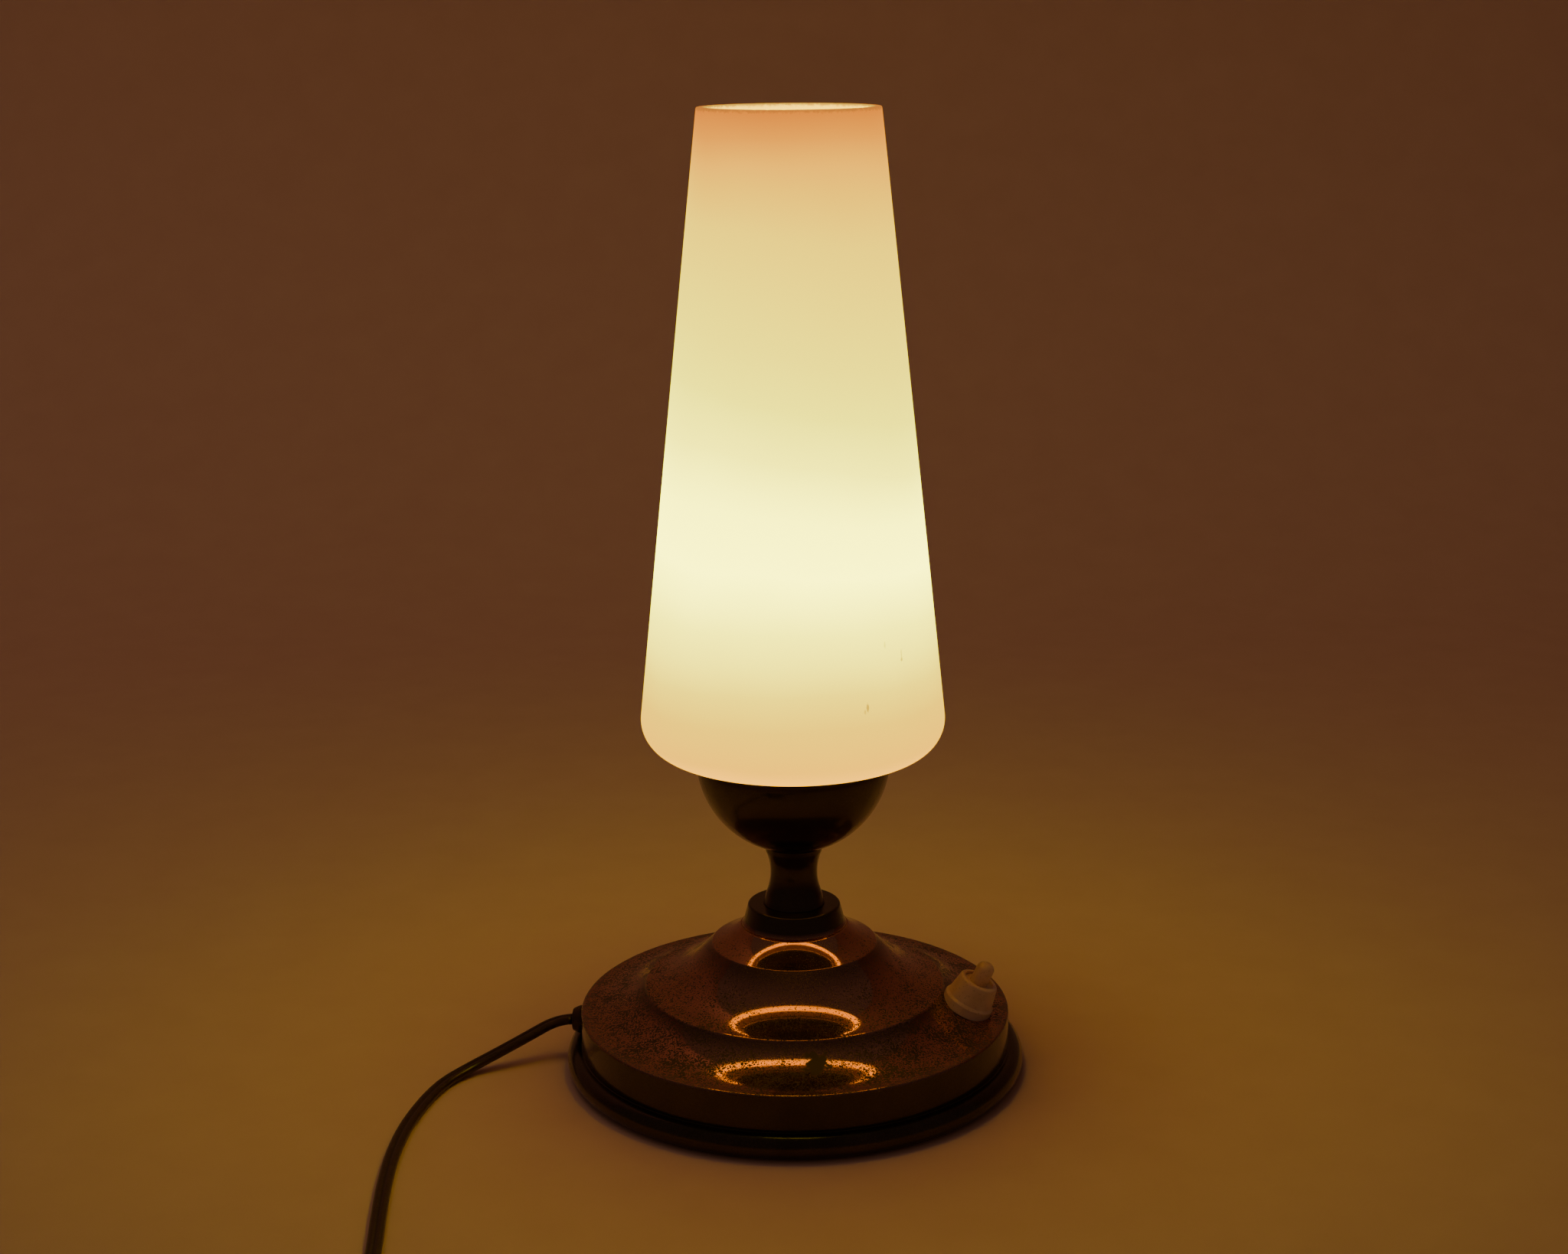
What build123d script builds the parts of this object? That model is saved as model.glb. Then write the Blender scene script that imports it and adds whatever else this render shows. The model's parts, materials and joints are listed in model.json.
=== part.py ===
from build123d import *
import os
from math import asin, atan, cos, degrees, floor, pi, radians, sin, sqrt, tan

# A small table lamp: a tapering opal glass shade in a spun cup, on a turned neck and a stepped spun base.
# Millimetres, +Z up. The origin is on the lamp's axis, on the plane that the felt stands on.
# It is seen from -Y, and +X is on the right of someone who looks at it.

os.makedirs("parts", exist_ok=True)

# Fits
play = 0.02
running_play = 0.08
seat_gap = 0.3
hole_play = 0.15
overrun = 5.0

# Base: one spun sheet from the boss down to the bead
sheet_t = 1.0
boss_r = 15.4
boss_h = 6.4
boss_batter = 1.9
boss_round = 8.0
flare_run = 4.2
flare_drop = 5.0
flare_rise = 2.1
flare_round = 16.0
tier1_r = 27.7
tier1_h = 1.0
tier1_batter = 0.4
tier2_h = 0.8
tier2_batter = 0.4
tier2_rise = 13.5
tier2_edge_slope = 11.0
tier3_rise = 8.0
tier3_edge_slope = 2.5
tier3_w = 22.1
hollow_share = 0.93
band_r = 72.5
band_top_z = 21.0
edge_round = 0.8
foot_round = 1.3
bead_r = 4.1
bead_out = 0.9
bead_lift = 0.3
lip_t = 1.0
lip_w = 5.0
felt_t = 2.2
felt_inset = 1.0
cover_t = 1.6
cover_inset = 2.5

# Weight, threaded tube and the nuts that draw the column together
ballast_room = 4.0
ballast_step = 1.5
ballast_edge_t = 9.3
tube_r = 4.98
tube_bore_r = 4.0
tube_tail = 1.5
washer_t = 1.0
bottom_washer_r = 9.5
bottom_nut_flats = 14.0
bottom_nut_t = 4.0
cup_washer_r = 8.2
cup_nut_flats = 14.0
cup_nut_t = 4.0

# Neck
neck_h = 20.6
neck_foot_r = 10.4
neck_foot_h = 3.6
neck_crease_r = 9.4
neck_waist_r = 7.85
neck_top_r = 9.8
neck_top_h = 1.9

# Cup
cup_r = 32.2
cup_foot_r = 8.9
cup_t = 1.0
cup_lip_drop = 2.4
cup_lip_rise = 0.7
cup_lip_step = 0.4

# Glass shade
shade_rim_r = 28.9
shade_cone_h = 196.87
shade_taper = 6.16
shade_t = 3.2
shade_shoulder_r = 11.2
shade_bottom_slope = 12.0
shade_hole_r = 14.8
shade_rim_round = 1.2
ring_r = 21.5
ring_t = 2.2
ring_collar_t = 2.7
ring_collar_h = 5.0
ring_notch_w = 4.0
ring_notch_h = 2.0
ring_notches = 6

# Lampholder
entry_r = 7.2
entry_h = 3.4
cap_cone_h = 4.5
cap_rim_h = 3.5
cap_floor_h = 1.1
holder_r = 14.0
sleeve_t = 1.5
sleeve_h = 43.6
sleeve_lip_w = 2.9
sleeve_lip_t = 2.5
spigot_h = 5.0
spigot_t = 1.2
insulator_t = 7.0
socket_bore_r = 7.2
socket_t = 0.4
socket_h = 25.6
socket_flange_w = 2.9
socket_flange_t = 0.6
contact_r = 2.5
contact_foot_h = 1.6
contact_tip_r = 1.6
contact_h = 3.3
terminal_span = 14.0
terminal_head_r = 2.3
terminal_head_h = 1.8
terminal_shank_r = 1.2
terminal_shank_l = 4.6

# Bulb
bulb_r = 18.0
bulb_glass_h = 80.0
bulb_glass_t = 0.8
bulb_tip_r = 2.2
bulb_tip_h = 1.2
bulb_insulator_r = 5.8
bulb_insulator_h = 3.3
bulb_cap_r = 6.9
bulb_cap_t = 0.4
bulb_cap_h = 18.5
bulb_collar_r = 8.7
bulb_collar_h = 2.2
bulb_stem_r = 2.2
bulb_stem_foot_h = 10.0
bulb_stem_h = 26.0
filament_r = 0.25
filament_w = 5.0
filament_h = 16.0
filament_round = 0.8
bulb_shares = [(0.45, 0.0), (0.56, 0.1), (0.9, 0.28), (1.0, 0.43), (0.86, 0.66), (0.47, 0.89), (0.0, 1.0)]
filament_shares = [(-0.3, 0.0), (-1.0, 0.5), (-0.5, 1.0), (0.0, 0.55), (0.5, 1.0), (1.0, 0.5), (0.3, 0.0)]

# Push switch, square to the lower tier
switch_angle = -10.8
switch_room = 4.5
collar_skirt = 0.8
collar_flange_r = 8.6
collar_flange_h = 3.8
collar_waist_r = 7.2
collar_waist_h = 5.0
collar_top_r = 6.5
collar_h = 10.8
collar_round = 0.9
switch_neck_r = 4.98
switch_neck_top = 9.9
switch_body_r = 8.5
switch_cavity_r = 6.8
switch_cavity_top = -3.0
switch_cavity_floor = -13.0
switch_base_t = 2.2
button_r = 3.0
button_tip = 17.6
button_round = 2.4
button_flange_r = 5.6
button_flange_t = 1.2
button_travel = 3.0
button_stem_r = 2.0
button_stem_l = 3.3
bridge_l = 7.0
bridge_w = 2.4
bridge_t = 0.5
fixed_contact_span = 5.2
fixed_contact_r = 0.8
switch_screw_span = 9.0
switch_screw_r = 1.9
switch_screw_h = 1.6
spring_r = 4.2
spring_wire_r = 0.2
spring_turns = 5.0
spring_gap = 0.05

# Flat twin cord, its bush, its coil and its plug. The tube has the cord's section area.
cord_w = 5.6
cord_r = 2.2
cord_angle = 176.0
cord_z = 13.6
cord_tail = 10.5
bush_bore_r = 3.0
bush_r = 3.9
bush_flange_r = 4.8
bush_flange_t = 1.3
bush_nose_r = 3.7
bush_nose_l = 2.4
exit_run = 8.8
free_bend_most = 220.0
bend_share = 0.45
lead_r = 1.0
lead_offset = 1.4
lead_pair = 1.08
lead_bend = 3.5
lead_end_bend = 1.6
coil_turns = 8.25
coil_pitch = 6.2
coil_r = 41.75
coil_layer = 5.0
coil_lift = 0.9
coil_soft = 0.15
tail_l = 41.0
tie_t = 0.6
tie_w = 5.0
tie_gap = 0.5
tie_round = 2.0
plug_l = 36.0
plug_w = 30.0
plug_round = 3.0
plug_nose_l = 12.0
plug_nose_w = 14.0
plug_pin_r = 2.0
plug_pin_l = 19.0
plug_pin_span = 19.0

# Heights that follow from these
lip_z = felt_t + cover_t
lip_top_z = lip_z + lip_t
bead_z = bead_r + bead_lift
tier2_foot_z = band_top_z + tier3_rise
tier2_z = tier2_foot_z + tier2_h
tier1_foot_z = tier2_z + tier2_rise
tier1_z = tier1_foot_z + tier1_h
flare_z = tier1_z + flare_rise
boss_foot_z = flare_z + flare_drop
base_top_z = boss_foot_z + boss_h
boss_foot_r = boss_r + boss_batter
flare_r = boss_foot_r + flare_run
tier1_foot_r = tier1_r + tier1_batter
tier2_r = band_r - tier3_w
cord_inner_d = band_r - cord_tail
tier2_foot_r = tier2_r + tier2_batter
neck_top_z = base_top_z + neck_h
cup_z = neck_top_z + sqrt(cup_r**2 - cup_foot_r**2)
cup_rim_z = cup_z + cup_lip_rise
cup_rim_r = cup_r + cup_lip_step
cup_floor_z = neck_top_z + cup_t
switch_r = band_r - sheet_t - switch_body_r - switch_room
ballast_r = switch_r - switch_body_r - ballast_room


def outline(points, rounds=0, plane=Plane.XZ):
    """A face inside a closed outline with rounded corners, for turning or for drawing out."""
    with BuildSketch(plane) as face:
        with BuildLine():
            FilletPolyline(*points, radius=rounds, close=True)
        make_face()
    return face.sketch


def box_outline(r_in, r_out, low, high):
    """The outline of a plain ring, as radius and height."""
    return [(r_in, low), (r_out, low), (r_out, high), (r_in, high)]


def save(piece, name):
    """Write one named piece."""
    piece.part.label = name
    export_step(piece.part, f"parts/{name}.step")


def hollow(foot, edge, edge_slope):
    """The corner, the radius and the lower end of a tier's hollow, from a step's foot to the next edge."""
    run = edge[0] - foot[0]
    drop = foot[1] - edge[1]
    chord = sqrt(run**2 + drop**2)
    half_turn = atan(drop / run) - edge_slope
    reach = chord / 2 / cos(half_turn)
    hollow_r = hollow_share * chord / 2 / sin(half_turn)
    left = reach - hollow_r * tan(half_turn)
    corner = (edge[0] - reach * cos(edge_slope), edge[1] + reach * sin(edge_slope))
    return corner, hollow_r, (edge[0] - left * cos(edge_slope), edge[1] + left * sin(edge_slope))


def on_hollow(r, hollow_r, end, edge_slope):
    """The height and the slope of a tier's hollow at a radius."""
    slope = asin(sin(edge_slope) + (end[0] - r) / hollow_r)
    return end[1] + hollow_r * (cos(edge_slope) - cos(slope)), slope


# The middle and the lower tier fall away from the step above them in one hollow
edge2 = radians(tier2_edge_slope)
edge3 = radians(tier3_edge_slope)
corner2, hollow2_r, end2 = hollow((tier1_foot_r, tier1_foot_z), (tier2_r, tier2_z), edge2)
corner3, hollow3_r, end3 = hollow((tier2_foot_r, tier2_foot_z), (band_r, band_top_z), edge3)

# The switch stands square to the lower tier's slope
switch_z, switch_tilt = on_hollow(switch_r, hollow3_r, end3, edge3)
switch_way = Vector(cos(radians(switch_angle)), sin(radians(switch_angle)), 0)
switch_side = Vector(-switch_way.Y, switch_way.X, 0)
switch_axis = switch_way * sin(switch_tilt) + Vector(0, 0, cos(switch_tilt))
switch_seat = switch_way * switch_r + Vector(0, 0, switch_z)
switch_plane = Plane(switch_seat, x_dir=switch_side, z_dir=switch_side.cross(switch_axis))
switch_line = Axis(switch_seat, switch_axis)
switch_under = sheet_t * (cos(switch_tilt) + sin(switch_tilt))
switch_body_top = -switch_under - switch_body_r**2 * sin(switch_tilt) / (2 * switch_r) - play


def across_switch(s):
    """The plane across the switch's axis at a distance along it from the tier's surface."""
    return Plane(switch_seat + switch_axis * s, x_dir=switch_side, z_dir=switch_axis)


# The cord leaves level through the band
cord_way = Vector(cos(radians(cord_angle)), sin(radians(cord_angle)), 0)
cord_side = Vector(-cord_way.Y, cord_way.X, 0)
cord_level = Vector(0, 0, cord_z)
cord_plane = Plane(cord_level, x_dir=(0, 0, 1), z_dir=Vector(0, 0, 1).cross(cord_way))
cord_line = Axis(cord_level, cord_way)


def across_cord(d):
    """The plane across the cord's way out, at a distance from the lamp's axis."""
    return Plane(cord_level + cord_way * d, x_dir=cord_side, z_dir=cord_way)


# Base shell
shell_rounds = [0, edge_round, boss_round, flare_round, edge_round, foot_round, hollow2_r]
shell_rounds += [edge_round, foot_round, hollow3_r, edge_round, 0, 0]


def shell_outline(inset, low):
    """The base's stepped outline, drawn in by the sheet's thickness for its inside."""
    corners = [
        (boss_r, base_top_z),
        (boss_foot_r, boss_foot_z),
        (flare_r, flare_z),
        (tier1_r, tier1_z),
        (tier1_foot_r, tier1_foot_z),
        corner2,
        (tier2_r, tier2_z),
        (tier2_foot_r, tier2_foot_z),
        corner3,
        (band_r, band_top_z),
    ]
    drawn = [(r - inset, z - inset) for r, z in corners]
    return [(0, base_top_z - inset)] + drawn + [(band_r - inset, low), (0, low)]


cover_r = band_r - sheet_t - cover_inset
with BuildPart() as base_shell:
    revolve(outline(shell_outline(0, lip_z), shell_rounds), axis=Axis.Z)
    with BuildSketch(Plane.XZ) as bead:
        with Locations((band_r + bead_out, bead_z)):
            Circle(bead_r)
    revolve(axis=Axis.Z)
    revolve(outline(shell_outline(sheet_t, lip_top_z), shell_rounds), axis=Axis.Z, mode=Mode.SUBTRACT)
    lip_r = band_r - sheet_t - lip_w
    revolve(outline(box_outline(0, lip_r, 0, lip_top_z)), axis=Axis.Z, mode=Mode.SUBTRACT)
    revolve(outline(box_outline(0, cover_r + play, 0, lip_z)), axis=Axis.Z, mode=Mode.SUBTRACT)
    tube_hole_r = tube_r + hole_play
    hole = box_outline(0, tube_hole_r, flare_z, base_top_z + overrun)
    revolve(outline(hole), axis=Axis.Z, mode=Mode.SUBTRACT)
    hole = box_outline(0, switch_neck_r + hole_play, -overrun, overrun)
    revolve(outline(hole, plane=switch_plane), axis=switch_line, mode=Mode.SUBTRACT)
    hole = box_outline(0, bush_r + play, cord_inner_d, band_r + overrun)
    revolve(outline(hole, plane=cord_plane), axis=cord_line, mode=Mode.SUBTRACT)
save(base_shell, "base_shell")

with BuildPart() as base_cover:
    revolve(outline(box_outline(0, cover_r, felt_t, lip_z)), axis=Axis.Z)
save(base_cover, "base_cover")

with BuildPart() as base_felt:
    revolve(outline(box_outline(0, cover_r - felt_inset, 0, felt_t)), axis=Axis.Z)
save(base_felt, "base_felt")

# Cast weight under the middle tier, held by the tube's lower nut
ballast_in_r = tier1_foot_r + ballast_step
seat2_z, seat2_slope = on_hollow(ballast_r + sheet_t, hollow2_r, end2, edge2)
ballast_edge_z = seat2_z - sheet_t - play
ballast_top_z = ballast_edge_z + (ballast_r - ballast_in_r) * tan(seat2_slope)
ballast_z = ballast_edge_z - ballast_edge_t
ballast_bore_r = tube_r + seat_gap
with BuildPart() as base_ballast:
    ballast_points = [
        (ballast_bore_r, ballast_z),
        (ballast_r, ballast_z),
        (ballast_r, ballast_edge_z),
        (ballast_in_r, ballast_top_z),
        (ballast_bore_r, ballast_top_z),
    ]
    revolve(outline(ballast_points), axis=Axis.Z)
save(base_ballast, "base_ballast")

bottom_washer_z = ballast_z - washer_t
with BuildPart() as bottom_washer:
    revolve(outline(box_outline(tube_hole_r, bottom_washer_r, bottom_washer_z, ballast_z)), axis=Axis.Z)
save(bottom_washer, "bottom_washer")

bottom_nut_z = bottom_washer_z - bottom_nut_t
with BuildPart() as bottom_nut:
    with BuildSketch(Plane.XY.offset(bottom_nut_z)) as nut_face:
        RegularPolygon(bottom_nut_flats / 2, 6, major_radius=False)
        Circle(tube_r + play, mode=Mode.SUBTRACT)
    extrude(amount=bottom_nut_t)
save(bottom_nut, "bottom_nut")

# Neck, turned from bar
with BuildPart() as neck:
    crease_z = base_top_z + neck_foot_h
    collar_z = neck_top_z - neck_top_h
    with BuildSketch(Plane.XZ) as neck_face:
        with BuildLine():
            Polyline(
                (neck_crease_r, crease_z),
                (neck_foot_r, base_top_z),
                (tube_hole_r, base_top_z),
                (tube_hole_r, neck_top_z),
                (neck_top_r, neck_top_z),
                (neck_crease_r, collar_z),
            )
            waist = (neck_waist_r, (crease_z + collar_z) / 2)
            ThreePointArc((neck_crease_r, collar_z), waist, (neck_crease_r, crease_z))
        make_face()
    revolve(axis=Axis.Z)
save(neck, "neck")

# Cup, spun: a ball's lower half with a flat foot and a band at the lip
with BuildPart() as cup:
    lip_angle = degrees(asin(-cup_lip_drop / cup_r))
    foot_angle = degrees(asin((neck_top_z - cup_z) / cup_r))
    cup_in_r = cup_r - cup_t
    floor_angle = degrees(asin((cup_floor_z - cup_z) / cup_in_r))
    with BuildSketch(Plane.XZ) as cup_face:
        with BuildLine():
            ball = CenterArc((0, cup_z), cup_r, foot_angle, lip_angle - foot_angle)
            inside = CenterArc((0, cup_z), cup_in_r, floor_angle, -floor_angle)
            Polyline(
                ball @ 1,
                (cup_rim_r, cup_z - cup_lip_drop),
                (cup_rim_r, cup_rim_z),
                (cup_in_r, cup_rim_z),
                inside @ 1,
            )
            Polyline(inside @ 0, (tube_hole_r, cup_floor_z), (tube_hole_r, neck_top_z), ball @ 0)
        make_face()
    revolve(axis=Axis.Z)
save(cup, "cup")

cup_washer_z = cup_floor_z + washer_t
with BuildPart() as cup_washer:
    revolve(outline(box_outline(tube_hole_r, cup_washer_r, cup_floor_z, cup_washer_z)), axis=Axis.Z)
save(cup_washer, "cup_washer")

with BuildPart() as cup_nut:
    with BuildSketch(Plane.XY.offset(cup_washer_z)) as nut_face:
        RegularPolygon(cup_nut_flats / 2, 6, major_radius=False)
        Circle(tube_r + play, mode=Mode.SUBTRACT)
    extrude(amount=cup_nut_t)
save(cup_nut, "cup_nut")

# Lampholder, screwed on the tube above the cup's nut
holder_z = cup_washer_z + cup_nut_t
cap_floor_z = holder_z + entry_h + cap_cone_h + cap_floor_h
cap_top_z = holder_z + entry_h + cap_cone_h + cap_rim_h
spigot_top_z = cap_top_z + spigot_h
insulator_top_z = spigot_top_z + insulator_t
sleeve_in_r = holder_r - sleeve_t
spigot_r = sleeve_in_r - play
with BuildPart() as holder_cap:
    cap_points = [
        (tube_r + play, holder_z),
        (entry_r, holder_z),
        (entry_r, holder_z + entry_h),
        (holder_r, holder_z + entry_h + cap_cone_h),
        (holder_r, cap_top_z),
        (spigot_r, cap_top_z),
        (spigot_r, spigot_top_z),
        (spigot_r - spigot_t, spigot_top_z),
        (spigot_r - spigot_t, cap_floor_z),
        (tube_r + play, cap_floor_z),
    ]
    revolve(outline(cap_points), axis=Axis.Z)
save(holder_cap, "holder_cap")

tube_z = bottom_nut_z - tube_tail
with BuildPart() as stem_tube:
    revolve(outline(box_outline(tube_bore_r, tube_r, tube_z, cap_floor_z)), axis=Axis.Z)
save(stem_tube, "stem_tube")

terminal_x = terminal_span / 2
with BuildPart() as holder_insulator:
    revolve(outline(box_outline(0, spigot_r, spigot_top_z, insulator_top_z)), axis=Axis.Z)
    with BuildSketch(Plane.XY.offset(spigot_top_z)) as screw_holes:
        with Locations((terminal_x, 0), (-terminal_x, 0)):
            Circle(terminal_shank_r + play)
    extrude(amount=terminal_shank_l + play, mode=Mode.SUBTRACT)
save(holder_insulator, "holder_insulator")

with BuildPart() as holder_terminal_screws:
    with BuildSketch(Plane.XY.offset(spigot_top_z)) as heads:
        with Locations((terminal_x, 0), (-terminal_x, 0)):
            Circle(terminal_head_r)
    extrude(amount=-terminal_head_h)
    with BuildSketch(Plane.XY.offset(spigot_top_z)) as shanks:
        with Locations((terminal_x, 0), (-terminal_x, 0)):
            Circle(terminal_shank_r)
    extrude(amount=terminal_shank_l)
save(holder_terminal_screws, "holder_terminal_screws")

sleeve_top_z = cap_top_z + sleeve_h
with BuildPart() as holder_sleeve:
    sleeve_points = [
        (sleeve_in_r, cap_top_z),
        (holder_r, cap_top_z),
        (holder_r, sleeve_top_z),
        (sleeve_in_r - sleeve_lip_w, sleeve_top_z),
        (sleeve_in_r - sleeve_lip_w, sleeve_top_z - sleeve_lip_t),
        (sleeve_in_r, sleeve_top_z - sleeve_lip_t),
    ]
    revolve(outline(sleeve_points), axis=Axis.Z)
save(holder_sleeve, "holder_sleeve")

with BuildPart() as holder_screw_shell:
    socket_r = socket_bore_r + socket_t
    flange_z = insulator_top_z + socket_flange_t
    socket_points = [
        (socket_bore_r, insulator_top_z),
        (socket_r + socket_flange_w, insulator_top_z),
        (socket_r + socket_flange_w, flange_z),
        (socket_r, flange_z),
        (socket_r, insulator_top_z + socket_h),
        (socket_bore_r, insulator_top_z + socket_h),
    ]
    revolve(outline(socket_points), axis=Axis.Z)
save(holder_screw_shell, "holder_screw_shell")

contact_top_z = insulator_top_z + contact_h
with BuildPart() as holder_centre_contact:
    contact_points = [
        (0, insulator_top_z),
        (contact_r, insulator_top_z),
        (contact_r, insulator_top_z + contact_foot_h),
        (contact_tip_r, contact_top_z),
        (0, contact_top_z),
    ]
    revolve(outline(contact_points), axis=Axis.Z)
save(holder_centre_contact, "holder_centre_contact")

# Glass shade: blown cone, round shoulder and a shallow cone for a bottom, resting on the cup's lip
taper = radians(shade_taper)
bottom = radians(shade_bottom_slope)
shade_low_r = shade_rim_r + shade_cone_h * tan(taper)
shoulder_x = shade_low_r - shade_shoulder_r / cos(taper)
shoulder_end_r = shoulder_x + shade_shoulder_r * sin(bottom)
shoulder_z = cup_rim_z + seat_gap + shade_shoulder_r * cos(bottom) + (shoulder_end_r - cup_rim_r) * tan(bottom)
shade_top_z = shoulder_z + shade_cone_h


def shade_bottom_z(r, inset):
    """The height of the shade's bottom at a radius, on its outside or its inside."""
    drop = (shade_shoulder_r - inset) / cos(bottom)
    return shoulder_z - drop + (r - shoulder_x) * tan(bottom)


with BuildPart() as glass_shade:
    shoulder_start = shade_bottom_slope - 90
    shoulder_sweep = 90 - shade_bottom_slope + shade_taper
    inner_shoulder_r = shade_shoulder_r - shade_t
    rim_in_r = shade_rim_r - shade_t / cos(taper)
    with BuildSketch(Plane.XZ) as shade_face:
        with BuildLine():
            outer = CenterArc((shoulder_x, shoulder_z), shade_shoulder_r, shoulder_start, shoulder_sweep)
            inner = CenterArc((shoulder_x, shoulder_z), inner_shoulder_r, shoulder_start, shoulder_sweep)
            hole_low = (shade_hole_r, shade_bottom_z(shade_hole_r, 0))
            hole_high = (shade_hole_r, shade_bottom_z(shade_hole_r, shade_t))
            Polyline(outer @ 0, hole_low, hole_high, inner @ 0)
            Polyline(outer @ 1, (shade_rim_r, shade_top_z), (rim_in_r, shade_top_z), inner @ 1)
        make_face()
        fillet(shade_face.vertices().group_by(Axis.Y)[-1], shade_rim_round)
    revolve(axis=Axis.Z)
save(glass_shade, "glass_shade")

ring_z = shade_bottom_z(ring_r, shade_t) + seat_gap
ring_bore_r = holder_r + seat_gap
ring_top_z = ring_z + ring_t + ring_collar_h
with BuildPart() as shade_ring:
    collar_r = ring_bore_r + ring_collar_t
    ring_points = [
        (ring_bore_r, ring_z),
        (ring_r, ring_z),
        (ring_r, ring_z + ring_t),
        (collar_r, ring_z + ring_t),
        (collar_r, ring_top_z),
        (ring_bore_r, ring_top_z),
    ]
    revolve(outline(ring_points), axis=Axis.Z)
    with BuildSketch(Plane.XY.offset(ring_top_z)) as notches:
        with PolarLocations(ring_r, ring_notches):
            Rectangle(ring_r, ring_notch_w)
    extrude(amount=-ring_notch_h, mode=Mode.SUBTRACT)
save(shade_ring, "shade_ring")

# Bulb: tip, insulator, screw cap, candle glass, stem and filament
bulb_z = contact_top_z + seat_gap
tip_top_z = bulb_z + bulb_tip_h
cap_z = tip_top_z + bulb_insulator_h
bulb_neck_z = cap_z + bulb_cap_h
with BuildPart() as bulb_contact:
    tip_points = box_outline(0, bulb_tip_r, bulb_z, tip_top_z)
    revolve(outline(tip_points, [0, bulb_tip_h / 2, 0, 0]), axis=Axis.Z)
save(bulb_contact, "bulb_contact")

with BuildPart() as bulb_insulator:
    insulator_points = [(0, tip_top_z), (bulb_tip_r, tip_top_z), (bulb_insulator_r, cap_z), (0, cap_z)]
    revolve(outline(insulator_points), axis=Axis.Z)
save(bulb_insulator, "bulb_insulator")

with BuildPart() as bulb_cap:
    collar_z = bulb_neck_z + bulb_collar_r - bulb_cap_r
    cap_outer = [
        (bulb_cap_r - bulb_cap_t, cap_z + bulb_cap_t),
        (0, cap_z + bulb_cap_t),
        (0, cap_z),
        (bulb_cap_r, cap_z),
        (bulb_cap_r, bulb_neck_z),
        (bulb_collar_r, collar_z),
        (bulb_collar_r, collar_z + bulb_collar_h),
        (bulb_collar_r - bulb_cap_t, collar_z + bulb_collar_h),
        (bulb_collar_r - bulb_cap_t, collar_z),
        (bulb_cap_r - bulb_cap_t, bulb_neck_z),
    ]
    revolve(outline(cap_outer), axis=Axis.Z)
save(bulb_cap, "bulb_cap")

with BuildPart() as bulb_glass:
    glass_out = [(r * bulb_r, collar_z + z * bulb_glass_h) for r, z in bulb_shares]
    glass_in = [(r - bulb_glass_t, z) for r, z in glass_out[:-1]]
    glass_in.append((0, collar_z + bulb_glass_h - bulb_glass_t))
    with BuildSketch(Plane.XZ) as glass_face:
        with BuildLine():
            Spline(*glass_out, tangents=((0, 1), (-1, 0)))
            Line(glass_out[-1], glass_in[-1])
            Spline(*glass_in, tangents=((0, 1), (-1, 0)))
            Line(glass_in[0], glass_out[0])
        make_face()
    revolve(axis=Axis.Z)
save(bulb_glass, "bulb_glass")

stem_foot_r = bulb_shares[0][0] * bulb_r - bulb_glass_t - play
stem_foot_z = collar_z + bulb_stem_foot_h
stem_top_z = collar_z + bulb_stem_h
with BuildPart() as bulb_stem:
    stem_points = [
        (0, collar_z),
        (stem_foot_r, collar_z),
        (bulb_stem_r, stem_foot_z),
        (bulb_stem_r, stem_top_z),
        (0, stem_top_z),
    ]
    revolve(outline(stem_points), axis=Axis.Z)
save(bulb_stem, "bulb_stem")

with BuildPart() as bulb_filament:
    filament_points = [(x * filament_w, 0, stem_top_z + z * filament_h) for x, z in filament_shares]
    with BuildLine() as filament_path:
        FilletPolyline(*filament_points, radius=filament_round)
    with BuildSketch(Plane(filament_path.line @ 0, z_dir=filament_path.line % 0)) as wire_face:
        Circle(filament_r)
    sweep(path=filament_path.line)
save(bulb_filament, "bulb_filament")

# Push switch
with BuildPart() as switch_housing:
    button_bore_r = button_r + running_play
    housing_points = [
        (button_bore_r, switch_neck_top),
        (switch_neck_r, switch_neck_top),
        (switch_neck_r, switch_body_top),
        (switch_body_r, switch_body_top),
        (switch_body_r, switch_cavity_floor),
        (switch_cavity_r, switch_cavity_floor),
        (switch_cavity_r, switch_cavity_top),
        (button_bore_r, switch_cavity_top),
    ]
    revolve(outline(housing_points, plane=switch_plane), axis=switch_line)
save(switch_housing, "switch_housing")

with BuildPart() as switch_collar:
    collar_bore_r = switch_neck_r + play
    collar_points = [
        (collar_bore_r, -collar_skirt),
        (collar_flange_r, -collar_skirt),
        (collar_flange_r, collar_flange_h),
        (collar_waist_r, collar_waist_h),
        (collar_top_r, collar_h),
        (collar_bore_r, collar_h),
    ]
    collar_rounds = [0, 0, collar_round, collar_round, collar_round, 0]
    revolve(outline(collar_points, collar_rounds, switch_plane), axis=switch_line)
    revolve(outline(shell_outline(-play, lip_z), shell_rounds), axis=Axis.Z, mode=Mode.SUBTRACT)
save(switch_collar, "switch_collar")

with BuildPart() as switch_button:
    flange_top = switch_cavity_top - running_play
    flange_floor = flange_top - button_flange_t
    stem_floor = flange_floor - button_stem_l
    button_points = [
        (0, button_tip),
        (button_r, button_tip),
        (button_r, flange_top),
        (button_flange_r, flange_top),
        (button_flange_r, flange_floor),
        (button_stem_r, flange_floor),
        (button_stem_r, stem_floor),
        (0, stem_floor),
    ]
    button_rounds = [0, button_round, 0, 0, 0, 0, 0, 0]
    revolve(outline(button_points, button_rounds, switch_plane), axis=switch_line)
save(switch_button, "switch_button")

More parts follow.
